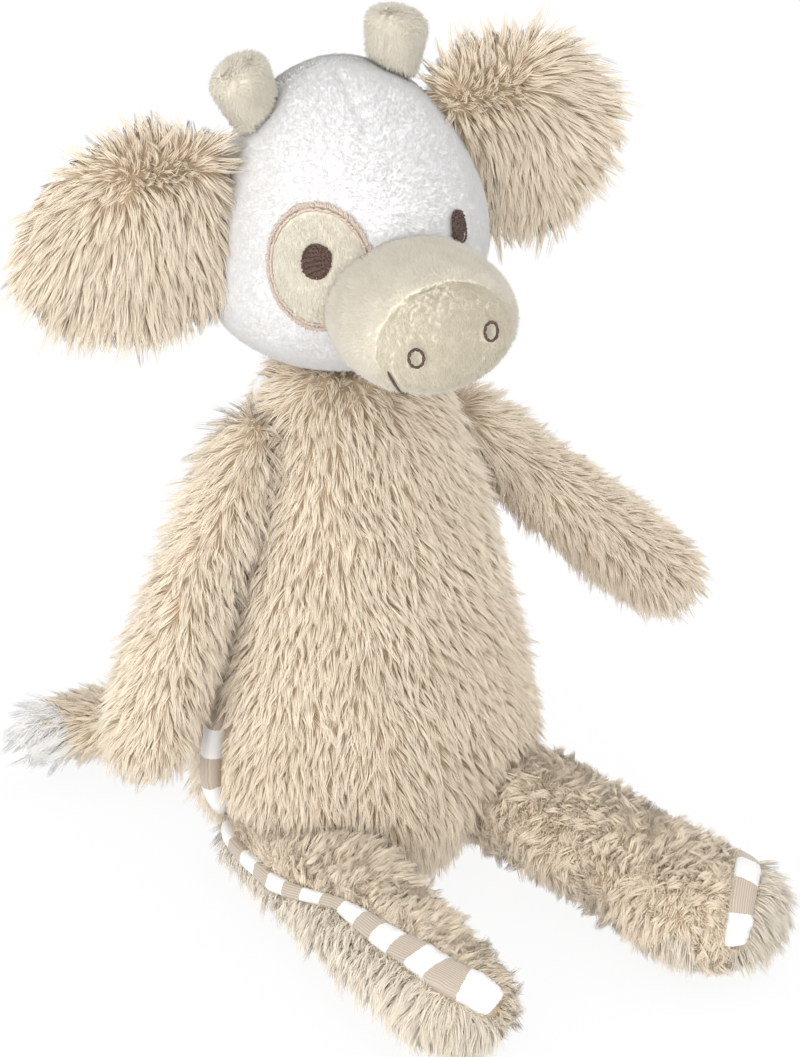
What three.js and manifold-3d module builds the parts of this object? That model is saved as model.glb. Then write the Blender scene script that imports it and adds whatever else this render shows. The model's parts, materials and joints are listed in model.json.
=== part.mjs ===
// A seated plush cow in millimetres: fur and velour covers, striped jersey gussets, an embroidered
// face and fibre stuffing. +Z is up, the cow faces -Y, +X is its left, and the origin is the middle
// of its flat seat. Every cover is a shell with its pile, and the stuffing lies inside it.
import * as THREE from "three";
import { mergeVertices } from "three/addons/utils/BufferGeometryUtils.js";
import Module from "manifold-3d";

const wasm = await Module();
wasm.setup();

// Cloths: the thickness of each with its pile, and the gap that sewn or stuffed pieces keep
const FUR = 6;
const VELOUR = 2.2;
const JERSEY = 2.5;
const THREAD = 1.2;
const SEAM_GAP = 0.4;
const SWING_GAP = 0.8;

// Torso: a pear that is cut off flat to sit
const TORSO_TOP = 201;
const SEAT_SINK = 12;
const SEAT_ROUND = 26;
const SHOULDER_ROUND = 24;
const HIP_HEIGHT = 36;
const WAIST_HEIGHT = 94;
const CHEST_HEIGHT = 142;
const SEAT_WIDTH = 120;
const SEAT_DEPTH = 90;
const HIP_WIDTH = 134;
const HIP_DEPTH = 112;
const WAIST_WIDTH = 108;
const WAIST_DEPTH = 90;
const CHEST_WIDTH = 92;
const CHEST_DEPTH = 78;
const YOKE_WIDTH = 78;
const YOKE_DEPTH = 64;
const TORSO_LEAN = 9;
const GUSSET_WIDTH = 10;
const GUSSET_BACK = 6;

// Neck: a plug of stuffing that turns in the torso and carries the head
const NECK_DIAMETER = 40;
const NECK_DEPTH = 30;
const NECK_SINK = 15;

// Head: a ball below, a taller narrower crown above, turned and tilted as it sits
const HEAD_DIAMETER = 100;
const CROWN_HEIGHT = 57;
const CROWN_NARROWING = 0.12;
const HEAD_FORWARD = 4;
const HEAD_TURN_ANGLE = -15;
const HEAD_TILT_ANGLE = -8;

// Muzzle: a wide snout with a front panel, measured from the middle of the head
const MUZZLE_LENGTH = 84;
const MUZZLE_REACH = 94;
const MUZZLE_DROP = 11.5;
const MUZZLE_SWELL = 56;
const MUZZLE_WIDTH = 63;
const MUZZLE_HEIGHT = 44.5;
const MUZZLE_BACK_WIDTH = 50;
const MUZZLE_BACK_HEIGHT = 41;
const MUZZLE_TIP_WIDTH = 56;
const MUZZLE_TIP_HEIGHT = 41;
const MUZZLE_ROUND = 14;
const NOSE_PANEL = 13;

// Embroidery and the eye patch
const EYE_WIDTH = 10;
const EYE_HEIGHT = 13;
const EYE_OUT_ANGLE = 31;
const EYE_UP_ANGLE = 10.5;
const PATCH_WIDTH = 36;
const PATCH_HEIGHT = 44;
const PATCH_STITCH = 3;
const NOSTRIL_WIDTH = 6;
const NOSTRIL_HEIGHT = 8;
const NOSTRIL_SPREAD = 25;
const NOSTRIL_RISE = 0.5;
const STITCH = 1.5;
const MOUTH_WIDTH = 42;
const MOUTH_DROP = 4.5;
const MOUTH_SAG = 13;

// Horns
const HORN_LENGTH = 36;
const HORN_WIDTH = 21;
const HORN_TIP_WIDTH = 22.5;
const HORN_ROUND = 7.5;
const HORN_SINK = 14;
const HORN_UP_ANGLE = 58;
const HORN_SPLAY_ANGLE = 16;

// Ears: two layers of fur that hang from a pinched root and swing about it
const EAR_LENGTH = 85;
const EAR_WIDTH = 80;
const EAR_STRAIGHT = 18;
const EAR_THICKNESS = 16;
const EAR_UP_ANGLE = 40;
const EAR_DROOP_ANGLE = 43;

// Arms
const ARM_LENGTH = 132;
const ARM_ROOT = 30;
const ARM_WIDTH = 41;
const ARM_DEPTH = 38;
const ARM_SWELL = 79;
const HAND_WIDTH = 38;
const HAND_ROUND = 17;
const SHOULDER_HEIGHT = 160;
const ARM_HANG_ANGLE = 16;
const ARM_LEFT_LIFT_ANGLE = 25;
const ARM_LEFT_FORWARD_ANGLE = 11;

// Legs
const LEG_LENGTH = 186;
const LEG_HEIGHT = 42;
const LEG_WIDTH = 55;
const LEG_SWELL = 93;
const FOOT_WIDTH = 48;
const FOOT_HEIGHT = 40;
const FOOT_ROUND = 18;
const LEG_SPREAD = 66;
const HIP_FORWARD = -4;
const LEG_PRESS = 0.5;
const LEG_RIGHT_SPLAY_ANGLE = 9;
const LEG_LEFT_SPLAY_ANGLE = 5;
const LEG_GUSSET_HIP = 6;
const LEG_GUSSET_FOOT = 13;
const LEG_GUSSET_RISE = 14;
const LEG_ROLL_ANGLE = 20;

// Tail: it leaves the back and curls to the right on the floor
const TAIL_DIAMETER = 26;
const TAIL_ROOT = 22;
const TAIL_REACH = 64;
const TAIL_CURL = 72;
const TAIL_BEND = 12;
const TAIL_FALL = 45;
const TAIL_TIP = 34;
const TAIL_OUT = 4;
const TAIL_PRESS = 0.5;

// How finely the forms are drawn
const CAP_RINGS = 2;
const TORSO_RINGS = 6;
const HEAD_SIDES = 20;
const HEAD_RINGS = 12;
const CUT_SIDES = 16;
const CUT_RINGS = 8;
const OVAL_SIDES = 14;
const FAR = 1000;

const CLOTHS = {
  fur: { color: 0xcdb896, roughness: 0.95 },
  whiteFur: { color: 0xf4f1ec, roughness: 0.95 },
  whiteVelour: { color: 0xf6f5f3, roughness: 0.85 },
  creamVelour: { color: 0xd9ceb8, roughness: 0.85 },
  jersey: { color: 0xd3c4b2, roughness: 0.9 },
  beigeThread: { color: 0xc9ad94, roughness: 0.6 },
  brownThread: { color: 0x41302a, roughness: 0.6 },
  stuffing: { color: 0xefeeea, roughness: 1 },
};

const vec = (x, y, z) => new THREE.Vector3(x, y, z);
const rad = THREE.MathUtils.degToRad;
const UP = vec(0, 0, 1);
const LEFT = vec(1, 0, 0);
const FORWARD = vec(0, -1, 0);

// A geometry's closed surface alone, with its shared corners joined
function bare(geometry) {
  geometry.deleteAttribute("normal");
  geometry.deleteAttribute("uv");
  return mergeVertices(geometry, 1e-4);
}

function solid(geometry) {
  const surface = bare(geometry.clone());
  return new wasm.Manifold(
    new wasm.Mesh({
      numProp: 3,
      vertProperties: new Float32Array(surface.getAttribute("position").array),
      triVerts: new Uint32Array(surface.getIndex().array),
    }),
  );
}

// The same form, larger by a distance all over, or smaller where it is negative
function grow(form, distance) {
  const grown = form.clone();
  grown.computeVertexNormals();
  const place = grown.getAttribute("position");
  const normal = grown.getAttribute("normal");
  for (let i = 0; i < place.count; i += 1) {
    const at = vec().fromBufferAttribute(place, i);
    at.addScaledVector(vec().fromBufferAttribute(normal, i), distance);
    place.setXYZ(i, at.x, at.y, at.z);
  }
  return bare(grown);
}

const grownSolid = (form, distance) => solid(grow(form, distance));

// The rings of a swelling form: the distance along, half the width and half the depth of each
function swellRings(stations, rings) {
  const swell = new THREE.CatmullRomCurve3(stations.map(([along, width, depth]) => vec(along, width / 2, depth / 2)));
  return swell.getPoints(rings);
}

// A stuffed form along a spine. Its stations give the distance along, the width and the depth,
// and its two ends are round from the outermost stations to the ends of the spine.
function stuffedForm({ spine, across, stations, sides, rings }) {
  const length = spine.getLength();
  const halves = swellRings(stations, rings);
  const first = halves[0];
  const last = halves[rings];
  const rows = rings + 2 * CAP_RINGS;
  const form = new THREE.SphereGeometry(1, sides, rows);
  const place = form.getAttribute("position");
  for (let row = 0; row <= rows; row += 1) {
    const fromStart = Math.min(row / CAP_RINGS, 1) * (Math.PI / 2);
    const fromEnd = Math.min((rows - row) / CAP_RINGS, 1) * (Math.PI / 2);
    const half = halves[THREE.MathUtils.clamp(row - CAP_RINGS, 0, rings)];
    const round = Math.sin(fromStart) * Math.sin(fromEnd);
    const along = half.x - first.x * Math.cos(fromStart) + (length - last.x) * Math.cos(fromEnd);
    const share = THREE.MathUtils.clamp(along / length, 0, 1);
    const middle = spine.getPointAt(share);
    const ahead = spine.getTangentAt(share);
    const side = across.clone().addScaledVector(ahead, -across.dot(ahead)).normalize();
    const over = ahead.clone().cross(side);
    for (let i = 0; i <= sides; i += 1) {
      const turn = (i / sides) * 2 * Math.PI;
      const at = middle.clone();
      at.addScaledVector(side, -Math.cos(turn) * half.y * round);
      at.addScaledVector(over, Math.sin(turn) * half.z * round);
      place.setXYZ(row * (sides + 1) + i, at.x, at.y, at.z);
    }
  }
  return bare(form);
}

// Cutting tools: all that lies beyond a plane, a box between two corners, a ball and a drum
function beyond(point, direction) {
  const block = new THREE.BoxGeometry(FAR, FAR, FAR).translate(0, 0, FAR / 2);
  block.applyQuaternion(new THREE.Quaternion().setFromUnitVectors(UP, direction.clone().normalize()));
  return solid(block.translate(point.x, point.y, point.z));
}

function box(low, high) {
  const size = high.clone().sub(low);
  const middle = low.clone().add(high).multiplyScalar(0.5);
  return new THREE.BoxGeometry(size.x, size.y, size.z).translate(middle.x, middle.y, middle.z);
}

// Both are drawn round their true size, so that what turns in them stays clear of their flats
const flatsRound = 1 / Math.cos(Math.PI / CUT_SIDES);

function ball(centre, radius) {
  const drawn = radius * flatsRound * flatsRound;
  return solid(new THREE.SphereGeometry(drawn, CUT_SIDES, CUT_RINGS).translate(centre.x, centre.y, centre.z));
}

function drum(radius, length) {
  return new THREE.CylinderGeometry(radius * flatsRound, radius * flatsRound, length, CUT_SIDES);
}

function piece(parent, name, shape, cloth) {
  const { vertProperties, triVerts } = shape.getMesh();
  const geometry = new THREE.BufferGeometry();
  geometry.setAttribute("position", new THREE.BufferAttribute(vertProperties, 3));
  geometry.setIndex(new THREE.BufferAttribute(triVerts, 1));
  geometry.computeVertexNormals();
  const mesh = new THREE.Mesh(geometry, new THREE.MeshStandardMaterial({ metalness: 0, ...CLOTHS[cloth] }));
  mesh.name = name;
  parent.add(mesh);
}

function groupAt(parent, position) {
  const group = new THREE.Group();
  group.position.copy(position);
  parent.add(group);
  return group;
}

const SIDES = [
  { name: "right", out: -1 },
  { name: "left", out: 1 },
];

const cow = new THREE.Group();
cow.name = "plush_cow";

// Torso form, and where the other parts meet it
const torsoStations = [
  [SEAT_ROUND, SEAT_WIDTH, SEAT_DEPTH],
  [SEAT_SINK + HIP_HEIGHT, HIP_WIDTH, HIP_DEPTH],
  [SEAT_SINK + WAIST_HEIGHT, WAIST_WIDTH, WAIST_DEPTH],
  [SEAT_SINK + CHEST_HEIGHT, CHEST_WIDTH, CHEST_DEPTH],
  [SEAT_SINK + TORSO_TOP - SHOULDER_ROUND, YOKE_WIDTH, YOKE_DEPTH],
];
const torsoForm = stuffedForm({
  spine: new THREE.LineCurve3(vec(0, 0, -SEAT_SINK), vec(0, TORSO_LEAN, TORSO_TOP)),
  across: LEFT,
  stations: torsoStations,
  sides: 16,
  rings: TORSO_RINGS,
});

// Half the torso's width and depth, and its middle, at a height
const torsoRings = swellRings(torsoStations, TORSO_RINGS);

function torsoAt(height) {
  const along = height + SEAT_SINK;
  const low = torsoRings.findLast((ring, i) => ring.x <= along || i === 0);
  const high = torsoRings.find((ring, i) => ring.x > along || i === TORSO_RINGS);
  const share = THREE.MathUtils.clamp((along - low.x) / (high.x - low.x || 1), 0, 1);
  const pastSeat = Math.max(SEAT_ROUND - along, 0) / SEAT_ROUND;
  const pastYoke = Math.max(along - torsoRings[TORSO_RINGS].x, 0) / SHOULDER_ROUND;
  const round = Math.sqrt(1 - Math.max(pastSeat, pastYoke) ** 2);
  return {
    width: THREE.MathUtils.lerp(low.y, high.y, share) * round,
    depth: THREE.MathUtils.lerp(low.z, high.z, share) * round,
    middle: (TORSO_LEAN * along) / (TORSO_TOP + SEAT_SINK),
  };
}

const headRadius = HEAD_DIAMETER / 2;
const headCentre = vec(0, TORSO_LEAN - HEAD_FORWARD, TORSO_TOP + headRadius - NECK_SINK);
const headSocket = ball(headCentre, headRadius + SWING_GAP);
const neckRadius = NECK_DIAMETER / 2;

const hipHeight = LEG_HEIGHT / 2 - LEG_PRESS;
const legSplays = { right: LEG_RIGHT_SPLAY_ANGLE, left: LEG_LEFT_SPLAY_ANGLE };
const armRadius = ARM_ROOT / 2;
const tailRadius = TAIL_DIAMETER / 2;
const torsoAtTail = torsoAt(TAIL_ROOT);
const tailPivot = vec(0, torsoAtTail.middle + torsoAtTail.depth + TAIL_OUT, TAIL_ROOT);

function hipOf(side) {
  const splay = rad(legSplays[side.name]) * side.out;
  return { place: vec((side.out * LEG_SPREAD) / 2, -HIP_FORWARD, hipHeight), splay };
}

// An arm's round root presses into the torso's pile, as far as the jersey below it
const rootPress = FUR - JERSEY - SWING_GAP - SEAM_GAP;

function shoulderOf(side) {
  const torso = torsoAt(SHOULDER_HEIGHT);
  return vec(side.out * (torso.width + armRadius - rootPress), torso.middle, SHOULDER_HEIGHT);
}

// The room that a leg needs below the torso's side as it swings from straight ahead to straight down
function legWell(side) {
  const { place, splay } = hipOf(side);
  const reach = LEG_HEIGHT / 2 + SWING_GAP;
  const inner = -side.out * (LEG_WIDTH / 2 + SWING_GAP);
  const [low, high] = [inner, inner + side.out * FAR].sort((a, b) => a - b);
  const roll = drum(reach, FAR).rotateZ(Math.PI / 2).translate((low + high) / 2, 0, 0);
  const ahead = box(vec(low, -FAR / 2, -reach), vec(high, 0, reach));
  const below = box(vec(low, -FAR / 2, -FAR / 2), vec(high, reach, 0));
  const parts = [roll, ahead, below].map((shape) => solid(shape.rotateZ(splay).translate(place.x, place.y, place.z)));
  return parts[0].add(parts[1]).add(parts[2]);
}

// The neck's plug of stuffing, which stands in the torso's neck opening
function neckPlug(extra) {
  const plug = drum(neckRadius + extra, FAR).rotateX(Math.PI / 2);
  return solid(plug.translate(headCentre.x, headCentre.y, TORSO_TOP - NECK_DEPTH - extra + FAR / 2));
}

const torsoCuts = [headSocket, neckPlug(0), ball(tailPivot, tailRadius + SWING_GAP)];
for (const side of SIDES) {
  torsoCuts.push(legWell(side), ball(shoulderOf(side), armRadius + SEAM_GAP));
}
const cutTorso = (shape) => torsoCuts.reduce((rest, cut) => rest.subtract(cut), shape);

// The torso's stuffing and covers
const torsoCore = (inset) => grownSolid(torsoForm, -inset).intersect(beyond(vec(0, 0, inset), UP));
const torsoOuter = solid(torsoForm).intersect(beyond(vec(0, 0, 0), UP));
const torsoCover = cutTorso(torsoOuter.subtract(torsoCore(FUR)));
const gussetFront = GUSSET_BACK - GUSSET_WIDTH / 2;
const gussetRear = GUSSET_BACK + GUSSET_WIDTH / 2;
const inFront = beyond(vec(0, gussetFront - SEAM_GAP, 0), FORWARD);
const gussetFoot = 2 * hipHeight;
const onSeat = beyond(vec(0, gussetFront, gussetFoot), vec(0, 0, -1));
const behind = beyond(vec(0, gussetRear + SEAM_GAP, 0), vec(0, 1, 0)).add(
  onSeat.intersect(beyond(vec(0, gussetFront, 0), vec(0, 1, 0))),
);
piece(cow, "torso_front_panel", torsoCover.intersect(inFront), "fur");
piece(cow, "torso_back_panel", torsoCover.intersect(behind), "fur");
const gussetBand = solid(
  box(vec(-FAR / 2, gussetFront, gussetFoot + SEAM_GAP), vec(FAR / 2, gussetRear, TORSO_TOP)),
);
const gussetCover = cutTorso(torsoCore(FUR - JERSEY).subtract(torsoCore(FUR))).intersect(gussetBand);
for (const side of SIDES) {
  const onSide = beyond(vec(side.out * neckRadius, 0, 0), vec(side.out, 0, 0));
  piece(cow, `torso_gusset_${side.name}`, gussetCover.intersect(onSide), "jersey");
}
piece(cow, "torso_stuffing", cutTorso(torsoCore(FUR + SEAM_GAP)), "stuffing");
const neckTop = beyond(vec(0, 0, headCentre.z), vec(0, 0, -1));
piece(cow, "neck_stuffing", neckPlug(-SEAM_GAP).intersect(neckTop).subtract(headSocket), "stuffing");

// Head form about its own middle, facing -Y
const head = groupAt(cow, headCentre);
head.rotation.set(0, rad(HEAD_TILT_ANGLE), rad(HEAD_TURN_ANGLE), "ZYX");
const headForm = new THREE.SphereGeometry(headRadius, HEAD_SIDES, HEAD_RINGS).rotateX(Math.PI / 2);
const headPlace = headForm.getAttribute("position");
for (let i = 0; i < headPlace.count; i += 1) {
  const lift = Math.max(headPlace.getZ(i) / headRadius, 0);
  const narrow = 1 - CROWN_NARROWING * lift;
  const rise = headPlace.getZ(i) + lift * (CROWN_HEIGHT - headRadius);
  headPlace.setXYZ(i, headPlace.getX(i) * narrow, headPlace.getY(i) * narrow, rise);
}
const headOuter = bare(headForm);
const headShell = solid(headOuter).subtract(grownSolid(headOuter, -VELOUR));
piece(head, "head_face_panel", headShell.intersect(beyond(vec(0, -SEAM_GAP / 2, 0), FORWARD)), "whiteVelour");
piece(head, "head_back_panel", headShell.intersect(beyond(vec(0, SEAM_GAP / 2, 0), vec(0, 1, 0))), "whiteVelour");
piece(head, "head_stuffing", grownSolid(headOuter, -VELOUR - SEAM_GAP), "stuffing");
const offHead = grownSolid(headOuter, SEAM_GAP);

// A place on the seam round the side of the head, by its angle up from the middle, and the way out
function sideOfHead(side, angle) {
  const lift = Math.sin(rad(angle));
  const wide = headRadius * Math.cos(rad(angle)) * (1 - CROWN_NARROWING * lift);
  return {
    place: vec(side.out * wide, 0, lift * CROWN_HEIGHT),
    out: vec(side.out * Math.cos(rad(angle)), 0, lift),
  };
}

// Muzzle
const muzzleTip = vec(0, -MUZZLE_REACH, -MUZZLE_DROP);
const muzzleForm = stuffedForm({
  spine: new THREE.LineCurve3(vec(0, MUZZLE_LENGTH - MUZZLE_REACH, -MUZZLE_DROP), muzzleTip),
  across: LEFT,
  stations: [
    [MUZZLE_ROUND, MUZZLE_BACK_WIDTH, MUZZLE_BACK_HEIGHT],
    [MUZZLE_SWELL, MUZZLE_WIDTH, MUZZLE_HEIGHT],
    [MUZZLE_LENGTH - MUZZLE_ROUND, MUZZLE_TIP_WIDTH, MUZZLE_TIP_HEIGHT],
  ],
  sides: 14,
  rings: 4,
});
const noseSeam = vec(0, NOSE_PANEL - MUZZLE_REACH, 0);
const muzzleCover = solid(muzzleForm).subtract(grownSolid(muzzleForm, -VELOUR)).subtract(offHead);
const nosePanel = beyond(noseSeam.clone().addScaledVector(FORWARD, SEAM_GAP), FORWARD);
piece(head, "muzzle_nose_panel", muzzleCover.intersect(nosePanel), "creamVelour");
piece(head, "muzzle_bridge_panel", muzzleCover.intersect(beyond(noseSeam, vec(0, 1, 0))), "creamVelour");
piece(head, "muzzle_stuffing", grownSolid(muzzleForm, -VELOUR - SEAM_GAP).subtract(offHead), "stuffing");

// An oval bar that points out from a place, to cut a patch or a stitched mark from a layer of cloth
function ovalBar(direction, width, height) {
  const bar = new THREE.CylinderGeometry(0.5, 0.5, HEAD_DIAMETER, OVAL_SIDES).scale(width, 1, height);
  const side = direction.clone().cross(UP).normalize();
  const rise = side.clone().cross(direction);
  bar.translate(0, HEAD_DIAMETER / 2, 0);
  bar.applyMatrix4(new THREE.Matrix4().makeBasis(side, direction, rise));
  return bar;
}

const layerOn = (form, lift, thickness) => grownSolid(form, lift + thickness).subtract(grownSolid(form, lift));

// A direction on the face, by its angles out to a side and up
function facing(out, up) {
  return vec(Math.sin(rad(out)) * Math.cos(rad(up)), -Math.cos(rad(out)) * Math.cos(rad(up)), Math.sin(rad(up)));
}

const faceMark = (direction, width, height) => solid(ovalBar(direction, width, height));
const patchLook = facing(-EYE_OUT_ANGLE, EYE_UP_ANGLE);
const offMuzzle = grownSolid(muzzleForm, SEAM_GAP);
const patchInner = faceMark(patchLook, PATCH_WIDTH - 2 * PATCH_STITCH, PATCH_HEIGHT - 2 * PATCH_STITCH);
const patchOuter = faceMark(patchLook, PATCH_WIDTH, PATCH_HEIGHT);
const patchLayer = layerOn(headOuter, SEAM_GAP, VELOUR).subtract(offMuzzle);
piece(head, "eye_patch", patchLayer.intersect(patchInner), "creamVelour");
const patchHole = faceMark(
  patchLook,
  PATCH_WIDTH - 2 * (PATCH_STITCH - SEAM_GAP),
  PATCH_HEIGHT - 2 * (PATCH_STITCH - SEAM_GAP),
);
piece(head, "eye_patch_stitching", patchLayer.intersect(patchOuter.subtract(patchHole)), "beigeThread");
const eyeLayers = { right: VELOUR + 2 * SEAM_GAP, left: SEAM_GAP };
for (const side of SIDES) {
  const oval = faceMark(facing(side.out * EYE_OUT_ANGLE, EYE_UP_ANGLE), EYE_WIDTH, EYE_HEIGHT);
  const eyeLayer = layerOn(headOuter, eyeLayers[side.name], THREAD).subtract(offMuzzle);
  piece(head, `eye_${side.name}`, eyeLayer.intersect(oval), "brownThread");
}

// Nostrils and mouth, stitched on the nose panel
const noseLayer = layerOn(muzzleForm, SEAM_GAP, THREAD);

function noseBar(outline, x, z) {
  const bar = new THREE.ExtrudeGeometry(outline, { depth: MUZZLE_REACH, bevelEnabled: false, curveSegments: 5 });
  return solid(bar.rotateX(Math.PI / 2).translate(x, noseSeam.y - SEAM_GAP, z - MUZZLE_DROP));
}

function oval(width, height) {
  return new THREE.Path().absellipse(0, 0, width / 2, height / 2, 0, 2 * Math.PI);
}

for (const side of SIDES) {
  const ring = new THREE.Shape(oval(NOSTRIL_WIDTH, NOSTRIL_HEIGHT).getPoints(OVAL_SIDES));
  ring.holes.push(oval(NOSTRIL_WIDTH - 2 * STITCH, NOSTRIL_HEIGHT - 2 * STITCH));
  const bar = noseBar(ring, (side.out * NOSTRIL_SPREAD) / 2, NOSTRIL_RISE);
  piece(head, `nostril_${side.name}`, noseLayer.intersect(bar), "brownThread");
}
const smile = new THREE.Shape();
smile.moveTo(-MOUTH_WIDTH / 2, 0);
smile.quadraticCurveTo(0, -2 * MOUTH_SAG, MOUTH_WIDTH / 2, 0);
smile.lineTo(MOUTH_WIDTH / 2, STITCH);
smile.quadraticCurveTo(0, STITCH - 2 * MOUTH_SAG, -MOUTH_WIDTH / 2, STITCH);
piece(head, "mouth_stitching", noseLayer.intersect(noseBar(smile, 0, -MOUTH_DROP)), "brownThread");

// Horns stand on the seam between the face and the back of the head
const hornForms = SIDES.map((side) => {
  const lean = vec(side.out * Math.sin(rad(HORN_SPLAY_ANGLE)), 0, Math.cos(rad(HORN_SPLAY_ANGLE)));
  const foot = sideOfHead(side, HORN_UP_ANGLE).place.addScaledVector(lean, -HORN_SINK);
  return stuffedForm({
    spine: new THREE.LineCurve3(foot, foot.clone().addScaledVector(lean, HORN_LENGTH)),
    across: LEFT,
    stations: [
      [HORN_WIDTH / 2, HORN_WIDTH, HORN_WIDTH],
      [HORN_LENGTH - HORN_ROUND, HORN_TIP_WIDTH, HORN_TIP_WIDTH],
    ],
    sides: 8,
    rings: 2,
  });
});
SIDES.forEach((side, i) => {
  const cover = solid(hornForms[i]).subtract(grownSolid(hornForms[i], -VELOUR)).subtract(offHead);
  piece(head, `horn_${side.name}_cover`, cover, "creamVelour");
  const core = grownSolid(hornForms[i], -VELOUR - SEAM_GAP).subtract(offHead);
  piece(head, `horn_${side.name}_stuffing`, core, "stuffing");
});

// Ears hang down and out beside the head, which they are cut by: local X runs along the ear
for (const side of SIDES) {
  const ear = groupAt(head, sideOfHead(side, EAR_UP_ANGLE).place);
  ear.rotation.set(0, side.out * rad(EAR_DROOP_ANGLE), 0);
  const form = stuffedForm({
    spine: new THREE.LineCurve3(vec(0, 0, 0), vec(side.out * EAR_LENGTH, 0, 0)),
    across: UP,
    stations: [
      [(EAR_LENGTH - EAR_STRAIGHT) / 2, EAR_WIDTH, EAR_THICKNESS],
      [(EAR_LENGTH + EAR_STRAIGHT) / 2, EAR_WIDTH, EAR_THICKNESS],
    ],
    sides: 14,
    rings: 2,
  });
  ear.updateMatrix();
  const headRoom = grow(headOuter, SWING_GAP).applyMatrix4(ear.matrix.clone().invert());
  const blade = solid(form).subtract(solid(headRoom));
  const front = beyond(vec(0, -SEAM_GAP / 2, 0), FORWARD);
  const back = beyond(vec(0, SEAM_GAP / 2, 0), vec(0, 1, 0));
  piece(ear, `ear_${side.name}_front`, blade.intersect(front), "fur");
  piece(ear, `ear_${side.name}_back`, blade.intersect(back), "fur");
}

// Arms, modelled as they hang, cut by the torso, then lifted and brought forward about the shoulder
const armLifts = { right: 0, left: ARM_LEFT_LIFT_ANGLE };
const armForwards = { right: 0, left: ARM_LEFT_FORWARD_ANGLE };
const torsoRoom = grow(torsoForm, SWING_GAP);
for (const side of SIDES) {
  const shoulder = shoulderOf(side);
  const arm = groupAt(cow, shoulder);
  arm.rotation.set(rad(-armForwards[side.name]), side.out * rad(-armLifts[side.name]), 0);
  const down = vec(side.out * Math.sin(rad(ARM_HANG_ANGLE)), 0, -Math.cos(rad(ARM_HANG_ANGLE)));
  const form = stuffedForm({
    spine: new THREE.LineCurve3(
      down.clone().multiplyScalar(-armRadius),
      down.clone().multiplyScalar(ARM_LENGTH - armRadius),
    ),
    across: LEFT,
    stations: [
      [armRadius, ARM_ROOT, ARM_ROOT],
      [ARM_SWELL, ARM_WIDTH, ARM_DEPTH],
      [ARM_LENGTH - HAND_ROUND, HAND_WIDTH, HAND_WIDTH],
    ],
    sides: 10,
    rings: 3,
  });
  const body = solid(torsoRoom.clone().translate(-shoulder.x, -shoulder.y, -shoulder.z));
  const torsoBeside = body.subtract(ball(vec(0, 0, 0), armRadius + SEAM_GAP));
  const cover = solid(form).subtract(grownSolid(form, -FUR)).subtract(torsoBeside);
  const seamSide = vec(side.out * Math.cos(rad(ARM_HANG_ANGLE)), 0, Math.sin(rad(ARM_HANG_ANGLE)));
  const outer = beyond(seamSide.clone().multiplyScalar(SEAM_GAP / 2), seamSide);
  const inner = beyond(seamSide.clone().multiplyScalar(-SEAM_GAP / 2), seamSide.clone().negate());
  piece(arm, `arm_${side.name}_outer_panel`, cover.intersect(outer), "fur");
  piece(arm, `arm_${side.name}_inner_panel`, cover.intersect(inner), "fur");
  piece(arm, `arm_${side.name}_stuffing`, grownSolid(form, -FUR - SEAM_GAP).subtract(torsoBeside), "stuffing");
}

// Legs, each along local -Y from its hip, rolled inwards, with a gusset that widens and climbs to the foot
const flatBelow = beyond(vec(0, 0, -hipHeight), UP);
for (const side of SIDES) {
  const { place, splay } = hipOf(side);
  const leg = groupAt(cow, place);
  leg.rotation.set(0, 0, splay);
  const hip = LEG_HEIGHT / 2;
  const form = stuffedForm({
    spine: new THREE.LineCurve3(vec(0, hip, 0), vec(0, hip - LEG_LENGTH, 0)),
    across: LEFT,
    stations: [
      [hip, LEG_WIDTH, LEG_HEIGHT],
      [LEG_SWELL, LEG_WIDTH, LEG_HEIGHT],
      [LEG_LENGTH - FOOT_ROUND, FOOT_WIDTH, FOOT_HEIGHT],
    ],
    sides: 12,
    rings: 3,
  });
  const core = (inset) => grownSolid(form, -inset).intersect(beyond(vec(0, 0, inset - hipHeight), UP));
  const outer = solid(form).intersect(flatBelow);
  const cover = outer.subtract(core(FUR));
  const toe = hip - LEG_LENGTH - FUR;
  const roll = new THREE.Matrix4().makeRotationY(side.out * rad(-LEG_ROLL_ANGLE));
  const wedge = (extra) => {
    const outline = new THREE.Shape();
    outline.moveTo(hip, LEG_GUSSET_HIP / 2 + extra);
    outline.lineTo(toe, LEG_GUSSET_RISE + LEG_GUSSET_FOOT / 2 + extra);
    outline.lineTo(toe, LEG_GUSSET_RISE - LEG_GUSSET_FOOT / 2 - extra);
    outline.lineTo(hip, -LEG_GUSSET_HIP / 2 - extra);
    const band = new THREE.ExtrudeGeometry(outline, { depth: LEG_WIDTH, bevelEnabled: false });
    band.applyMatrix4(new THREE.Matrix4().makeBasis(vec(0, 1, 0), UP, LEFT));
    return solid(band.translate(side.out < 0 ? -LEG_WIDTH : 0, 0, 0).applyMatrix4(roll));
  };
  const fur = cover.subtract(wedge(SEAM_GAP));
  const seam = vec(0, hip, 0);
  const seamUp = vec(0, LEG_GUSSET_RISE, hip - toe).normalize().transformDirection(roll);
  const above = beyond(seam.clone().addScaledVector(seamUp, SEAM_GAP / 2), seamUp);
  const below = beyond(seam.clone().addScaledVector(seamUp, -SEAM_GAP / 2), seamUp.clone().negate());
  piece(leg, `leg_${side.name}_top_panel`, fur.intersect(above), "fur");
  piece(leg, `leg_${side.name}_sole_panel`, fur.intersect(below), "fur");
  const knit = core(FUR - JERSEY).subtract(core(FUR)).intersect(wedge(0));
  piece(leg, `leg_${side.name}_gusset`, knit, "jersey");
  piece(leg, `leg_${side.name}_stuffing`, core(FUR + SEAM_GAP), "stuffing");
}

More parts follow.
